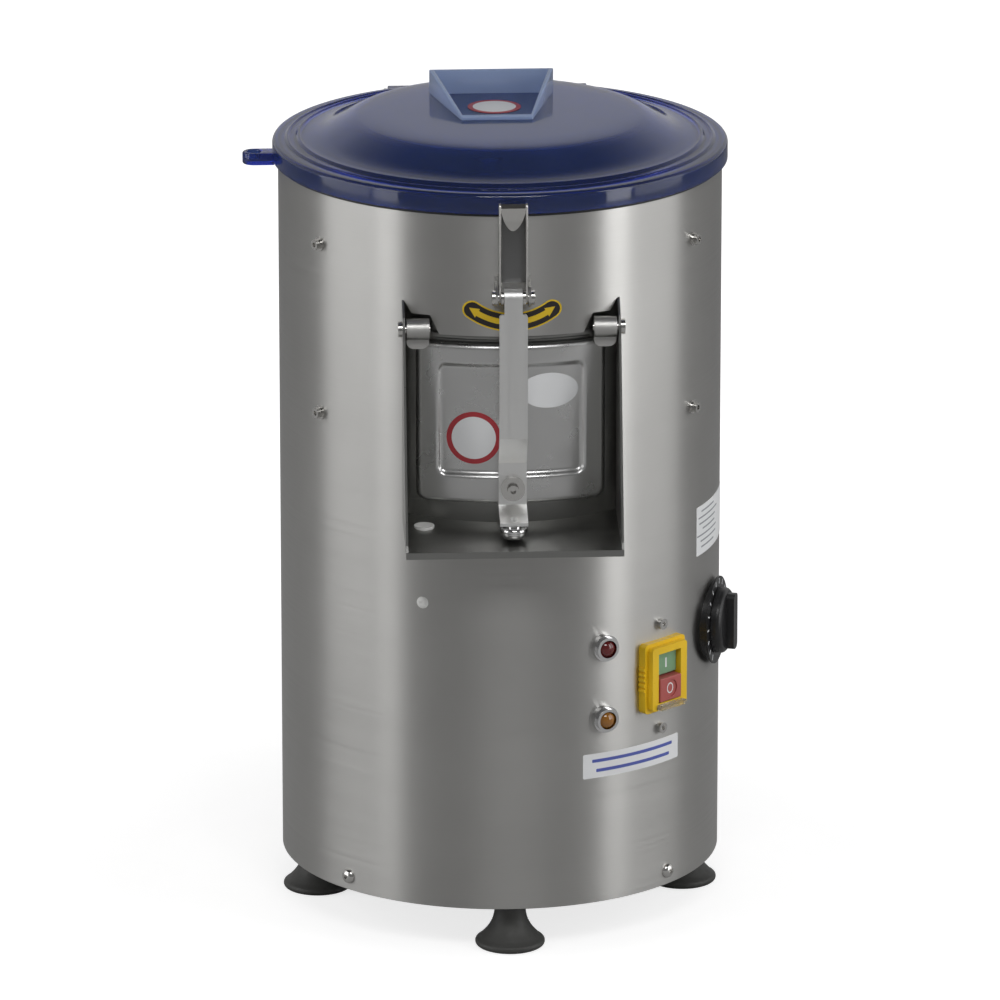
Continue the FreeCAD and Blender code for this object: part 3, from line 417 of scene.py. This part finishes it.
# %% See-through plastics
def see_through(name, colour, rough, transmission, coat=0.0):
    """A clear tinted plastic with a faintly wavy surface."""
    material, tree, shader = new_material(name)
    wave = stretched_noise(tree, (1, 1, 1), 14.0, 2.0)
    tinted(tree, shader, wave.outputs["Fac"], tuple(c * 0.9 for c in colour), colour)
    shader.inputs["IOR"].default_value = 1.5
    shader.inputs["Transmission Weight"].default_value = transmission
    shader.inputs["Coat Weight"].default_value = coat
    shader.inputs["Coat Roughness"].default_value = 0.04
    tree.links.new(ranged(tree, wave.outputs["Fac"], rough * 0.8, rough * 1.2), shader.inputs["Roughness"])
    bump(tree, shader, wave.outputs["Fac"], 0.1, 0.0006)
    return material


finish["lid_blue"] = see_through("lid_blue_polycarbonate", (0.20, 0.31, 0.66), 0.09, 0.93)
# painted light: a paler, less clear blue stands in for the light caught by the hand-hold's thin walls
finish["grip_blue"] = see_through("hand_hold_painted_light_polycarbonate", (0.40, 0.51, 0.76), 0.10, 0.30)
lid_tree = finish["lid_blue"].node_tree
tint = add(lid_tree, "ShaderNodeVolumeAbsorption", Density=170.0)
tint.inputs["Color"].default_value = (0.08, 0.24, 0.80, 1)
lid_tree.links.new(tint.outputs["Volume"], lid_tree.nodes["Material Output"].inputs["Volume"])
finish["clear_plastic"] = see_through("clear_hood", (0.82, 0.82, 0.78), 0.08, 0.85)
finish["red_lens"] = see_through("red_lens", (0.16, 0.012, 0.012), 0.10, 0.25, 0.6)
finish["amber_lens"] = see_through("amber_lens", (0.42, 0.17, 0.02), 0.10, 0.25, 0.6)
print("see-through plastics ready")

# %% [markdown]
# ## Dress every CAD node
# Most small pieces already have the right form, so they keep their mesh and only get the finish
# of their slot. A few differ from the rest of their slot and are named one by one.

# %% Assign finishes to the nodes
for node_name, node_object in nodes.items():
    wanted = finish[slots[node_name]]
    node_object.data.materials.clear()
    node_object.data.materials.append(wanted)
# the chute and the drum take the darkened steel, which is painted shade
# the clamp bar and the lever channel take the brightened steel, which is a painted highlight
special = {"clamp_bar": "painted_highlight_bar_steel", "lever_channel": "painted_highlight_bar_steel", "discharge_chute": "painted_shade_chute_steel",
           "drum": "painted_shade_chute_steel", "timer_dial": "black_plastic"}
for node_name, finish_name in special.items():
    nodes[node_name].data.materials[0] = finish[finish_name]
print("dressed", len(nodes), "nodes")

# %% [markdown]
# ## The casing
# The real casing is one rolled sheet with the chute's opening cut out of it. A faceted tube
# would break the long highlights, so a finer one replaces it: 288 sides, cut by the same
# outline, and each face's normal set to point straight out from the axis. That keeps the
# reflections perfectly round even beside the cut.

# %% Casing shell
CASING_LOW, CASING_HIGH = 44.0, 690.0
SHEET = 2.0
OPENING_HALF, OPENING_SILL, OPENING_TOP = 96.5, 415, 608
FLOOR_BACK_Y, FLOOR_BACK_Z, FLOOR_SLOPE = -188, 405, 7
FLANGE_INNER, FLANGE_OUTER = 184, 198.2
notch = [(94.5, OPENING_TOP), (88, 597), (72, 597), (64, 580)]
OPENING = ([(-OPENING_HALF, OPENING_SILL), (OPENING_HALF, OPENING_SILL), (OPENING_HALF, OPENING_TOP)] + notch
           + [(-x, z) for x, z in reversed(notch)] + [(-OPENING_HALF, OPENING_TOP)])


def floor_underside(y):
    """Height of the underside of the chute's sloping floor."""
    return FLOOR_BACK_Z + (y - FLOOR_BACK_Y) * math.tan(math.radians(FLOOR_SLOPE)) - SHEET


def true_round(obj):
    """Set the normals of the round walls to the axis, and leave flat faces flat."""
    mesh = obj.data
    normals = []
    for polygon in mesh.polygons:
        for corner in polygon.loop_indices:
            point = mesh.vertices[mesh.loops[corner].vertex_index].co
            radial = Vector((point.x, point.y, 0)).normalized()
            lean = polygon.normal.dot(radial)
            if abs(lean) > 0.9:
                normals.append(radial if lean > 0 else -radial)
            else:
                normals.append(polygon.normal.copy())
    mesh.normals_split_custom_set(normals)


def round_shell(name, outer, inner, low, high, sides):
    """An open tube with a little rounding at its rims."""
    lip = 0.5
    profile = [(inner, low + lip), (inner + lip, low), (outer - lip, low), (outer, low + lip),
               (outer, high - lip), (outer - lip, high), (inner + lip, high), (inner, high - lip)]
    verts, faces = lathe_points(profile, sides)
    return raw(name, verts, faces)


casing = round_shell("casing_sheet", CASING_R, CASING_R - SHEET, CASING_LOW, CASING_HIGH, 288)
cut(casing, prism("opening", OPENING, -230, -150, "y"))
above_floor = [(-150, floor_underside(-150)), (-150, OPENING_SILL + 1), (-215, OPENING_SILL + 1),
               (-215, floor_underside(-215))]
cut(casing, prism("above_floor", above_floor, -OPENING_HALF, OPENING_HALF, "x"))
finish_piece(casing, finish["steel"], "stand", ["casing"])
true_round(casing)
flange_section = [(FLANGE_INNER, CASING_LOW), (FLANGE_OUTER, CASING_LOW), (FLANGE_OUTER, CASING_LOW + SHEET),
                  (FLANGE_INNER, CASING_LOW + SHEET)]
verts, faces = lathe_points(flange_section, 96)
piece("casing_bottom_flange", verts, faces, finish["steel"], "stand")
print("casing faces:", len(casing.data.polygons))

# %% [markdown]
# ## The lid
# The lid is turned as one closed profile: an outer skirt, two ribs under its edge, a raised ring
# and a domed middle with a flat top. The lugs and the side tab are joined to it, so that no hidden
# wall shows through the plastic. The hand-hold is a wedge-shaped wall that stands on the flat.

# %% Lid
LID_R = 205.0
LID_INSIDE = 204.0
LID_SIDES = 224
UNDER = 707.3
LID_FLAT = 735.0
GRIP_TOP, GRIP_NOSE = 757.0, 738.4
GRIP_X = -4.5
PIN_Y, PIN_Z = 215.0, 692.0
TAB_X = -221.5


def lid_profile():
    """The lid's section, from the middle of the top round to the middle underneath."""
    dome = curve_through([(126, 733.0), (131, 731.9), (138, 729.0), (148, 723.6), (158, 718.2), (166, 715.3),
                          (174, 713.8)])
    belly = curve_through([(181, 709.6), (172, 710.8), (164, 712.2), (156, 715.4), (146, 721.0), (137, 726.0),
                           (129.5, 729.0)])
    top = [(0.01, LID_FLAT), (60, 734.8), (100, 734.4), (118, 733.9)]
    edge = ([(178, 713.3)] + arc((181, 713.0), 1.6, 160, 20, 6) + [(184, 712.2), (188, 711.6)]
            + arc((191, 711.2), 1.7, 160, 20, 6) + [(194, 710.9), (198, 710.7)])
    rim = arc((201.2, 706.9), 3.8, 85, 0)
    skirt = [(LID_R, 693.4), (LID_R - 0.4, 693), (202.6, 693), (202.3, 693.4), (202.3, UNDER), (199.5, UNDER),
             (199.5, 693), (197, 693), (197, UNDER), (183.5, UNDER), (183.5, 685), (181, 685)]
    under = [(118, 730.9), (100, 731.4), (60, 731.8), (0.01, 732)]
    return top + dome + edge + rim + skirt + belly + under


def trapezoid(rear, front, rear_half, front_half):
    """Plan outline of the hand-hold, wide at the back and narrow at the front."""
    return [(GRIP_X - rear_half, rear), (GRIP_X + rear_half, rear),
            (GRIP_X + front_half, front), (GRIP_X - front_half, front)]


def trim_to_skirt(obj):
    """Cut away what reaches inside the lid's skirt."""
    verts, faces = lathe_points([(0.01, 600), (LID_INSIDE, 600), (LID_INSIDE, 800), (0.01, 800)], LID_SIDES)
    cut(obj, raw("inside", verts, faces))


verts, faces = lathe_points(lid_profile(), LID_SIDES)
lid = raw("lid_moulding", verts, faces)
grip = prism("hand_hold", trapezoid(66, -35, 56.5, 32), LID_FLAT - 0.7, GRIP_TOP, "z")
roof = [(76, GRIP_TOP), (59, GRIP_TOP), (-35, GRIP_NOSE), (-50, GRIP_NOSE), (-50, 790), (76, 790)]
cut(grip, prism("roof", roof, -100, 100, "x"))
cut(grip, prism("pocket", trapezoid(62, -31, 51.5, 30.5), 730, 790, "z"))
soften(grip, 1.2)
finish_piece(grip, finish["grip_blue"], "lid", (), 24)
LUG = [(190, 694), (205, 684), (212, 683.2), (218, 684), (222, 687.5), (224, 692), (224, 701),
       (222.5, 702.5), (190, 702.5)]
for side in (-1, 1):
    near, far = sorted((70 * side, 92 * side))
    lug = prism("lug", LUG, near, far, "x")
    soften(lug, 1.2)
    trim_to_skirt(lug)
    verts, faces = lathe_points([(0.01, 60), (4.05, 60), (4.05, 100), (0.01, 100)], 32)
    cut(lug, raw("hole", [(side * z, PIN_Y + x, PIN_Z + y) for x, y, z in verts], faces))
    cut(lid, lug, "UNION")
ledge = prism("ledge", [(-62, 185), (62, 185), (62, 209), (-62, 209)], 694, 701, "z")
tab = prism("tab", [(-200, -10.5), (-200, 10.5)] + arc((TAB_X, 0), 10.5, 90, 270, 16), 689, 700, "z")
cut(tab, prism("hollow", arc((TAB_X, 0), 6.2, 0, 350, 24), 694, 702, "z"))
for extra in (ledge, tab):
    soften(extra, 1.6)
    trim_to_skirt(extra)
    cut(lid, extra, "UNION")
finish_piece(lid, finish["lid_blue"], "lid", ["lid_shell"], 24)
print("lid faces:", len(lid.data.polygons))

# %% [markdown]
# ## The feet
# Each foot is a rubber bell: a neck under the casing that flares to a wide rim, rolled at the
# floor. It is turned from one profile and repeated under the four quarters.

# %% Feet
FOOT_PROFILE = ([(4, 0), (27.5, 0)] + arc((28, 3.6), 3.6, -90, 60, 10)
                + curve_through([(27.2, 8.6), (21, 15.5), (16.6, 23), (14.6, 30), (14, 36)], 4)
                + [(14, 46), (4, 46)])
FOOT_PITCH_R = 168
for k, (x, y) in enumerate([(0, -FOOT_PITCH_R), (FOOT_PITCH_R, 0), (0, FOOT_PITCH_R), (-FOOT_PITCH_R, 0)]):
    verts, faces = lathe_points(FOOT_PROFILE, 64, (x, y))
    piece(f"rubber_foot_{k + 1}", verts, faces, finish["foot_rubber"], "stand",
          ["rubber_feet"] if k == 0 else ())
print("feet made: 4")

# %% [markdown]
# ## The door
# The door is pressed: a raised frame with soft shoulders round a flat panel. A height field over
# the door's outline is the natural way to say that. The frame's height is worked out from the
# distance to the outer edge and to the recess, and the whole sheet is then bent to the drum.

# %% Door
DOOR_HALF, DOOR_LOW, DOOR_HIGH = 84.0, 424.0, 571.0
RECESS_HALF, RECESS_LOW, RECESS_HIGH = 61.5, 453.0, 549.0
DOOR_BACK, DOOR_PANEL, DOOR_FACE = 190.5, 192.0, 196.0
DOOR_CORNER, RECESS_CORNER, SHOULDER = 9, 3.5, 5.0


def rounded_distance(x, z, half_x, low, high, radius):
    """Distance into a round-cornered rectangle, negative outside it."""
    dx = abs(x) - (half_x - radius)
    dz = abs(z - (low + high) / 2) - ((high - low) / 2 - radius)
    outside = math.hypot(max(dx, 0), max(dz, 0))
    return radius - outside - min(max(dx, dz), 0)


def smooth(t):
    """A soft step from 0 to 1."""
    t = min(max(t, 0), 1)
    return t * t * (3 - 2 * t)


def door_radius(x, z):
    """Radius of the door's front face at a point of its outline."""
    edge = rounded_distance(x, z, DOOR_HALF, DOOR_LOW, DOOR_HIGH, DOOR_CORNER)
    well = -rounded_distance(x, z, RECESS_HALF, RECESS_LOW, RECESS_HIGH, RECESS_CORNER)
    inward = SHOULDER - min(edge, SHOULDER)
    rim = math.sqrt(max(SHOULDER ** 2 - inward ** 2, 0)) / SHOULDER
    frame_height = (DOOR_FACE - DOOR_PANEL) * smooth((well + 0.3) / 5.2)
    return DOOR_BACK + 0.6 + (DOOR_PANEL - DOOR_BACK - 0.6 + frame_height) * rim


def door_grid(columns, rows):
    """Rows of points that follow the door's rounded outline exactly."""
    middle = (DOOR_LOW + DOOR_HIGH) / 2
    half_z = (DOOR_HIGH - DOOR_LOW) / 2
    found = []
    for i in range(rows + 1):
        v = math.sin(math.pi / 2 * (2 * i / rows - 1))
        for j in range(columns + 1):
            u = math.sin(math.pi / 2 * (2 * j / columns - 1))
            x, z = u * DOOR_HALF, middle + v * half_z
            depth = rounded_distance(x, z, DOOR_HALF, DOOR_LOW, DOOR_HIGH, DOOR_CORNER)
            if depth < 0:
                cx = math.copysign(DOOR_HALF - DOOR_CORNER, x)
                cz = middle + math.copysign(half_z - DOOR_CORNER, z - middle)
                scale = DOOR_CORNER / math.hypot(x - cx, z - cz)
                x, z = cx + (x - cx) * scale, cz + (z - cz) * scale
            found.append((x, z))
    return found


def bent(x, z, radius):
    """A point at a chosen radius, at the same x."""
    return (x, -math.sqrt(radius * radius - x * x), z)


COLUMNS, ROWS = 150, 132
plan = door_grid(COLUMNS, ROWS)
verts = [bent(x, z, door_radius(x, z)) for x, z in plan] + [bent(x, z, DOOR_BACK) for x, z in plan]
faces = []
width = COLUMNS + 1
back = len(plan)
for i in range(ROWS):
    for j in range(COLUMNS):
        a = i * width + j
        faces.append((a, a + 1, a + 1 + width, a + width))
        faces.append((back + a, back + a + width, back + a + 1 + width, back + a + 1))
border = ([j for j in range(COLUMNS)] + [i * width + COLUMNS for i in range(ROWS)]
          + [ROWS * width + j for j in range(COLUMNS, 0, -1)] + [i * width for i in range(ROWS, 0, -1)])
for k, a in enumerate(border):
    b = border[(k + 1) % len(border)]
    faces.append((a, b, back + b, back + a))
door = piece("door_pressing", verts, faces, finish["cast_alloy"], "door", ["door_panel"], 60)
print("door faces:", len(door.data.polygons))

# %% [markdown]
# ## The lever
# The lever is a folded channel, open to the front. Its web lies in shade between two flanges
# whose cut edges were dressed round, and those two thin edges are what the eye catches. So the
# web and the flanges are separate meshes, and only the flanges are softened.

# %% Lever
LEVER_TOP = 706.0
BOLT_Y, BOLT_Z = -215, 620
web = prism("lever_web", [(-12.4, 632), (12.4, 632), (12.4, LEVER_TOP - 4.2), (-12.4, LEVER_TOP - 4.2)],
            -209.6, -208.1, "y")
soften(web, 0.3, 2)
# the web wears the darkened steel, which is painted shade
finish_piece(web, finish["shade_steel"], "lever", ["lever_channel"])
FLANGE = ([(-208, LEVER_TOP - 4)] + arc((-216.5, LEVER_TOP - 3.4), 3.4, 60, 180, 6)
          + [(-221, 622), (-218.6, 616), (-215, 613.4), (-212, 614), (-208, 620)])
for side, hand in ((-1, "left"), (1, "right")):
    near, far = sorted((10.9 * side, 12.7 * side))
    flange = prism(f"lever_flange_{hand}", FLANGE, near, far, "x")
    soften(flange, 0.6)
    finish_piece(flange, finish["bright_steel"], "lever")
    verts, faces = lathe_points([(4.05, 8.4), (7, 8.4), (7, 10.9), (4.05, 10.9)], 40)
    piece(f"lever_bush_{hand}", [(side * z, BOLT_Y + x, BOLT_Z + y) for x, y, z in verts], faces,
          finish["bright_steel"], "lever")
print("lever made of 5 pieces")

# %% [markdown]
# ## Printed labels
# Stickers are thin plates that follow the wall they are stuck on. A round wall is straight from
# top to bottom, so each plate is built from upright stations across its width: it then bends
# exactly and never dips into the sheet. The marks are generic: plain rules, a rim, an arrow.


# %% Label maker
def strip_sticker(name, rows, place, material, thick, lift, body="stand"):
    """A thin plate between two lines of points. place(x, z, stand) bends it to its wall."""
    verts = []
    for level in (lift, lift + thick):
        for row in rows:
            verts += [place(x, z, level) for x, z in row]
    count = len(rows[0])
    per = 2 * count
    faces = [(0, count, per + count, per), (count - 1, per + count - 1, per + 2 * count - 1, 2 * count - 1)]
    for k in range(count - 1):
        faces.append((k, k + 1, count + k + 1, count + k))
        faces.append((per + k, per + count + k, per + count + k + 1, per + k + 1))
        faces.append((k, per + k, per + k + 1, k + 1))
        faces.append((count + k, count + k + 1, per + count + k + 1, per + count + k))
    return piece(name, verts, faces, material, body)


def sticker(name, shape, place, colour, body, thick=0.25, lift=0.0):
    """A plate between the low and the high line of a shape made of (x, low, high) stations."""
    rows = [[(point[0], point[side]) for point in shape] for side in (1, 2)]
    return strip_sticker(name, rows, place, finish["label_" + colour], thick, lift, body)


def spread(half, fine):
    """Stations from -half to half, close together near the ends."""
    steps = max(8, int(half / fine))
    return [half * math.sin(math.pi / 2 * (2 * k / steps - 1)) for k in range(steps + 1)]


def box_shape(width, height, corner=1.5, x0=0.0, z0=0.0):
    """A rectangle with small round corners as (x, low, high) stations."""
    found = []
    for x in spread(width / 2, 1.2):
        into = abs(x) - (width / 2 - corner)
        loss = corner - math.sqrt(max(corner * corner - max(into, 0) ** 2, 0))
        reach = max(height / 2 - loss, 0.05)
        found.append((x0 + x, z0 - reach, z0 + reach))
    return found


def oval_shape(width, height):
    """An ellipse as (x, low, high) stations."""
    found = []
    for x in spread(width / 2, 0.7):
        reach = max(height / 2 * math.sqrt(max(1 - (2 * x / width) ** 2, 0)), 0.03)
        found.append((x, -reach, reach))
    return found


def wall_place(azimuth, height):
    """Places a drawing on the casing."""
    return lambda x, z, stand: to_wall((x, z), azimuth, height, stand)


def door_place(centre_x, height):
    """Places a drawing on the door's flat panel."""
    def place(x, z, stand):
        px = centre_x + x
        return (px, -math.sqrt((DOOR_PANEL + 0.05 + stand) ** 2 - px * px), height + z)
    return place


print("label maker ready")

# %% [markdown]
# The turning arrow is a smile-shaped band: yellow outside, black inside, with a double-ended
# yellow arrow. All three follow the same arc at different widths, so one function bends them.


# %% Turning arrow
ARROW_R = 62


def bent_rows(stops):
    """The upper and lower line of a form bent on the arrow's arc, from (along, half width) stops."""
    rows = ([], [])
    for along, half in stops:
        a = math.radians(-90) + along / ARROW_R
        for row, radius in zip(rows, (ARROW_R - half, ARROW_R + half)):
            row.append((math.cos(a) * radius, ARROW_R + math.sin(a) * radius))
    return rows


def band_rows(half_angle, width, steps=40):
    """A sagging band with round ends."""
    stops = []
    reach = ARROW_R * math.radians(half_angle)
    for k in range(steps + 1):
        along = math.sin((-1 + 2 * k / steps) * math.pi / 2) * reach
        over = abs(along) - (reach - width / 2)
        half = width / 2
        if over > 0:
            half = math.sqrt(max((width / 2) ** 2 - over * over, 0.0004))
        stops.append((along, half))
    return bent_rows(stops)


def arrow_rows(half_angle, shaft, head, head_length):
    """A double-ended arrow bent along the same arc."""
    reach = ARROW_R * math.radians(half_angle)
    neck = reach - head_length
    places = [-reach, -neck, -neck + 0.01] + [-neck + neck * 2 * k / 24 for k in range(1, 24)]
    places += [neck - 0.01, neck, reach]
    stops = []
    for along in places:
        over = abs(along) - neck
        stops.append((along, shaft / 2 if over < 0 else head / 2 * (1 - over / head_length) + 0.05))
    return bent_rows(stops)


arrow_place = wall_place(0.0, ARROW_Z)
yellow, black = finish["label_yellow"], finish["label_black"]
strip_sticker("arrow_label_border", band_rows(43, 17.0), arrow_place, yellow, 0.2, 0.02)
strip_sticker("arrow_label_field", band_rows(41.5, 14.4), arrow_place, black, 0.08, 0.22)
strip_sticker("arrow_label_arrow", arrow_rows(38, 5.0, 9.0, 9.0), arrow_place, yellow, 0.08, 0.30)
print("turning arrow on the casing at", ARROW_Z)

# %% [markdown]
# The other labels: a white disc with a red rim on the door and one in the lid's hand-hold, a
# plain white oval, a service plate with ruled lines, and a data plate with grey rules. None
# carries words.

# %% Labels and plates
def lid_place(x, y, stand):
    """Places a drawing on the floor of the hand-hold."""
    return (GRIP_X + x, 12.0 + y, LID_FLAT + 0.1 + stand)


def rimmed_disc(body, place):
    """A white disc with a red rim."""
    sticker(f"{body}_disc_rim", oval_shape(48, 48), place, "red", body, 0.2)
    sticker(f"{body}_disc_face", oval_shape(39, 39), place, "white", body, 0.1, 0.2)


rimmed_disc("door", door_place(-33.5, 484.0))
sticker("door_oval", oval_shape(52, 32), door_place(33.5, 527.0), "white", "door", 0.2)
rimmed_disc("lid", lid_place)
service_place = wall_place(SERVICE_AZ, SERVICE_Z)
sticker("service_plate", box_shape(110, 23), service_place, "white", "stand", 0.25, 0.02)
for k, (z, rule_width) in enumerate([(4.6, 92), (-4.6, 84)]):
    rule = box_shape(rule_width, 3.0, 0.6, 0, z)
    sticker(f"service_rule_{k + 1}", rule, service_place, "blue", "stand", 0.06, 0.27)
data_place = wall_place(DATA_AZ, DATA_Z)
sticker("data_plate", box_shape(90, 46), data_place, "white", "stand", 0.25, 0.02)
for k in range(7):
    rule = box_shape(34 + 9 * ((k * 5) % 3), 1.5, 0.4, -18 + 3 * (k % 2), 17.5 - 5.6 * k)
    sticker(f"data_rule_{k + 1}", rule, data_place, "grey", "stand", 0.06, 0.27)
print("labels placed")

# %% [markdown]
# ## Marks on the controls
# The switch has a plain bar and a ring, the two signs every switch shares. They sit on the
# buttons and so ride with them. The timer's black dial has a ring of plain strokes round the
# knob, which stay still as it turns.

# %% Switch marks
def face_place(radius, z0):
    """Places a drawing on a flat face of the switch."""
    return lambda x, z, stand: at_azimuth((x, -(radius + stand), z + z0), SWITCH_AZ, SWITCH_Z)


def ring_mark(name, place, outer, inner, body, steps=40):
    """A flat ring, a little narrower than it is tall."""
    verts = []
    faces = []
    for level in (0.0, 0.08):
        for radius in (outer, inner):
            for k in range(steps):
                a = 2 * math.pi * k / steps
                verts.append(place(radius * 0.8 * math.cos(a), radius * math.sin(a), level))
    for k in range(steps):
        n = (k + 1) % steps
        faces += [(k, n, steps + n, steps + k), (2 * steps + k, 3 * steps + k, 3 * steps + n, 2 * steps + n),
                  (k, 2 * steps + k, 2 * steps + n, n), (steps + k, steps + n, 3 * steps + n, 3 * steps + k)]
    return piece(name, verts, faces, finish["label_white"], body)


def dial_place(x, z, stand):
    """Places a drawing on the flat face of the timer's dial."""
    return at_azimuth((x, -(204.42 + stand), z), TIMER_AZ, TIMER_Z)


def tick_ring(name, place, inner, outer, half, count, body):
    """Short strokes in a ring, left open at the foot."""
    verts = []
    faces = []
    for k in range(count):
        a = math.radians(-150 + 300 * k / (count - 1))
        ux, uz = math.sin(a), math.cos(a)
        for level in (0.0, 0.1):
            for r, s in ((inner, -half), (outer, -half), (outer, half), (inner, half)):
                verts.append(place(r * ux + s * uz, r * uz - s * ux, level))
        b = 8 * k
        faces += [(b, b + 1, b + 2, b + 3), (b + 4, b + 5, b + 6, b + 7)]
        faces += [(b + i, b + (i + 1) % 4, b + 4 + (i + 1) % 4, b + 4 + i) for i in range(4)]
    return piece(name, verts, faces, finish["label_white"], body)


sticker("start_mark", box_shape(1.8, 9, 0.4), face_place(207.02, 11.7), "white", "start_button", 0.08)
ring_mark("stop_mark", face_place(212.32, -11.2), 5.0, 3.9, "stop_button")
tick_ring("dial_ticks", dial_place, 33.0, 38.0, 0.7, 16, "stand")
print("switch and timer marks placed")

# %% [markdown]
# ## The studio
# The photograph is a catalogue shot: white all round, with two tall soft lights that draw the
# bright bands down the steel. The floor keeps a faint shadow near the feet and fades to white
# further out. The world is white to the camera, and what the metal reflects is a grey room with a
# bright side, fixed in the room, so the bands stay put when the camera moves round.

# %% Floor and world
FLOOR_HALF = 9.0
floor_mesh = bpy.data.meshes.new("studio_floor")
corners = [(FLOOR_HALF * x, FLOOR_HALF * y, 0) for x, y in ((-1, -1), (1, -1), (1, 1), (-1, 1))]
floor_mesh.from_pydata(corners, [], [(0, 1, 2, 3)])
floor = bpy.data.objects.new("studio_floor", floor_mesh)
bpy.context.scene.collection.objects.link(floor)
floor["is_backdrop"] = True

floor_material, tree, shader = new_material("pale_floor")
grain = stretched_noise(tree, (1, 1, 1), 30.0)
tinted(tree, shader, grain.outputs["Fac"], (0.50, 0.50, 0.50), (0.52, 0.52, 0.52))
shader.inputs["Roughness"].default_value = 0.9
shader.inputs["Emission Color"].default_value = (1, 1, 1, 1)
path = add(tree, "ShaderNodeLightPath")
spot = add(tree, "ShaderNodeNewGeometry")
away = add(tree, "ShaderNodeVectorMath", operation="LENGTH")
tree.links.new(spot.outputs["Position"], away.inputs[0])
fade = mapped(tree, away.outputs["Value"], 0.35, 1.3, 0.74, 1.0)
tree.links.new(product(tree, path.outputs["Is Camera Ray"], fade), shader.inputs["Emission Strength"])
floor_mesh.materials.append(floor_material)

world = bpy.data.worlds.new("studio")
bpy.context.scene.world = world
world.use_nodes = True
tree = world.node_tree
background = tree.nodes["Background"]
output = tree.nodes["World Output"]
background.inputs["Color"].default_value = (1, 1, 1, 1)
background.inputs["Strength"].default_value = 1.0
where = add(tree, "ShaderNodeTexCoord")
split = add(tree, "ShaderNodeSeparateXYZ")
tree.links.new(where.outputs["Generated"], split.inputs[0])
room = mapped(tree, split.outputs["Y"], -0.9, 0.35, 0.16, 0.56)
ceiling = mapped(tree, split.outputs["Z"], 0.45, 0.80, 1.0, 0.12)
room_light = add(tree, "ShaderNodeBackground")
room_light.inputs["Color"].default_value = (1, 1, 1, 1)
tree.links.new(product(tree, room, ceiling), room_light.inputs["Strength"])
path = add(tree, "ShaderNodeLightPath")
seen = add(tree, "ShaderNodeMath", operation="MAXIMUM")
tree.links.new(path.outputs["Is Camera Ray"], seen.inputs[0])
tree.links.new(path.outputs["Is Transmission Ray"], seen.inputs[1])
mix = add(tree, "ShaderNodeMixShader")
tree.links.new(seen.outputs[0], mix.inputs["Fac"])
tree.links.new(room_light.outputs[0], mix.inputs[1])
tree.links.new(background.outputs[0], mix.inputs[2])
tree.links.new(mix.outputs[0], output.inputs["Surface"])
print("floor and world ready")

# %% [markdown]
# A narrow strip light stands on each side, with a wide one behind it. On an upright cylinder a
# light shows up at half its own azimuth, so a band that is wanted at azimuth a needs its lamp at
# twice a. The narrow lamp draws the crest of the band and the wide one its tail. A soft light high
# in front fills the labels and the floor, and leaves the ceiling dark for the lid.


# %% Lamps
def strip_light(name, azimuth, distance, size, power, height):
    """An upright area lamp at an azimuth, facing the machine."""
    data = bpy.data.lights.new(name, "AREA")
    data.shape = "RECTANGLE"
    data.size, data.size_y = size
    data.energy = power
    obj = bpy.data.objects.new(name, data)
    a = math.radians(azimuth)
    obj.location = (distance * math.sin(a), -distance * math.cos(a), height)
    aim = Vector((0, 0, 0.45)) - obj.location
    obj.rotation_euler = aim.to_track_quat("-Z", "Y").to_euler()
    bpy.context.scene.collection.objects.link(obj)
    return obj


LEFT_EDGE, RIGHT_EDGE, WIDE_TURN = -60.5, 57.0, 25
NARROW, WIDE = (0.75, 3.4), (1.8, 3.4)
strip_light("left_strip", LEFT_EDGE, 3.0, NARROW, 17.0, 0.9)
strip_light("left_wide", LEFT_EDGE - WIDE_TURN, 3.0, WIDE, 27.0, 0.9)
strip_light("right_strip", RIGHT_EDGE, 3.0, NARROW, 26.0, 0.9)
strip_light("right_wide", RIGHT_EDGE + WIDE_TURN, 3.0, WIDE, 24.0, 0.9)
strip_light("front_soft", 4.0, 3.2, (2.2, 1.2), 50.0, 3.6)

# %% [markdown]
# ## The camera
# The picture was taken from a good distance with a long lens, a little to the left of the
# front and looking down. The aim point is on the machine's axis, half-way up, and the lens
# follows from the width that the frame spans there.

# %% Camera
CAMERA_AZIMUTH = -3.1
CAMERA_ELEVATION = 16.9
CAMERA_REACH = 7.8
AIM_HEIGHT = 0.3685
FRAME_WIDTH = 0.911
SENSOR_WIDTH = 36.0
camera_data = bpy.data.cameras.new("camera")
camera = bpy.data.objects.new("camera", camera_data)
bpy.context.scene.collection.objects.link(camera)
bpy.context.scene.camera = camera
a, e = math.radians(CAMERA_AZIMUTH), math.radians(CAMERA_ELEVATION)
rise = CAMERA_REACH * math.tan(e)
camera.location = (CAMERA_REACH * math.sin(a), -CAMERA_REACH * math.cos(a), AIM_HEIGHT + rise)
aim = Vector((0, 0, AIM_HEIGHT)) - camera.location
camera.rotation_euler = aim.to_track_quat("-Z", "Y").to_euler()
camera_data.sensor_width = SENSOR_WIDTH
camera_data.lens = SENSOR_WIDTH * aim.length / FRAME_WIDTH
camera_data.clip_end = 60.0
bpy.context.scene.view_settings.view_transform = "Standard"
print("camera", tuple(round(c, 3) for c in camera.location), "lens", round(camera_data.lens, 1))

# %% [markdown]
# ## Finish
# The bounds of the CAD frame and of the dressed machine are given as the cell's last value.
# The dressed machine may not outgrow the frame.

# %% Sizes and finish
boxes = {"cad": cad_bounds, "visual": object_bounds()}
{key: [list(map(float, corner)) for corner in box] for key, box in boxes.items()}
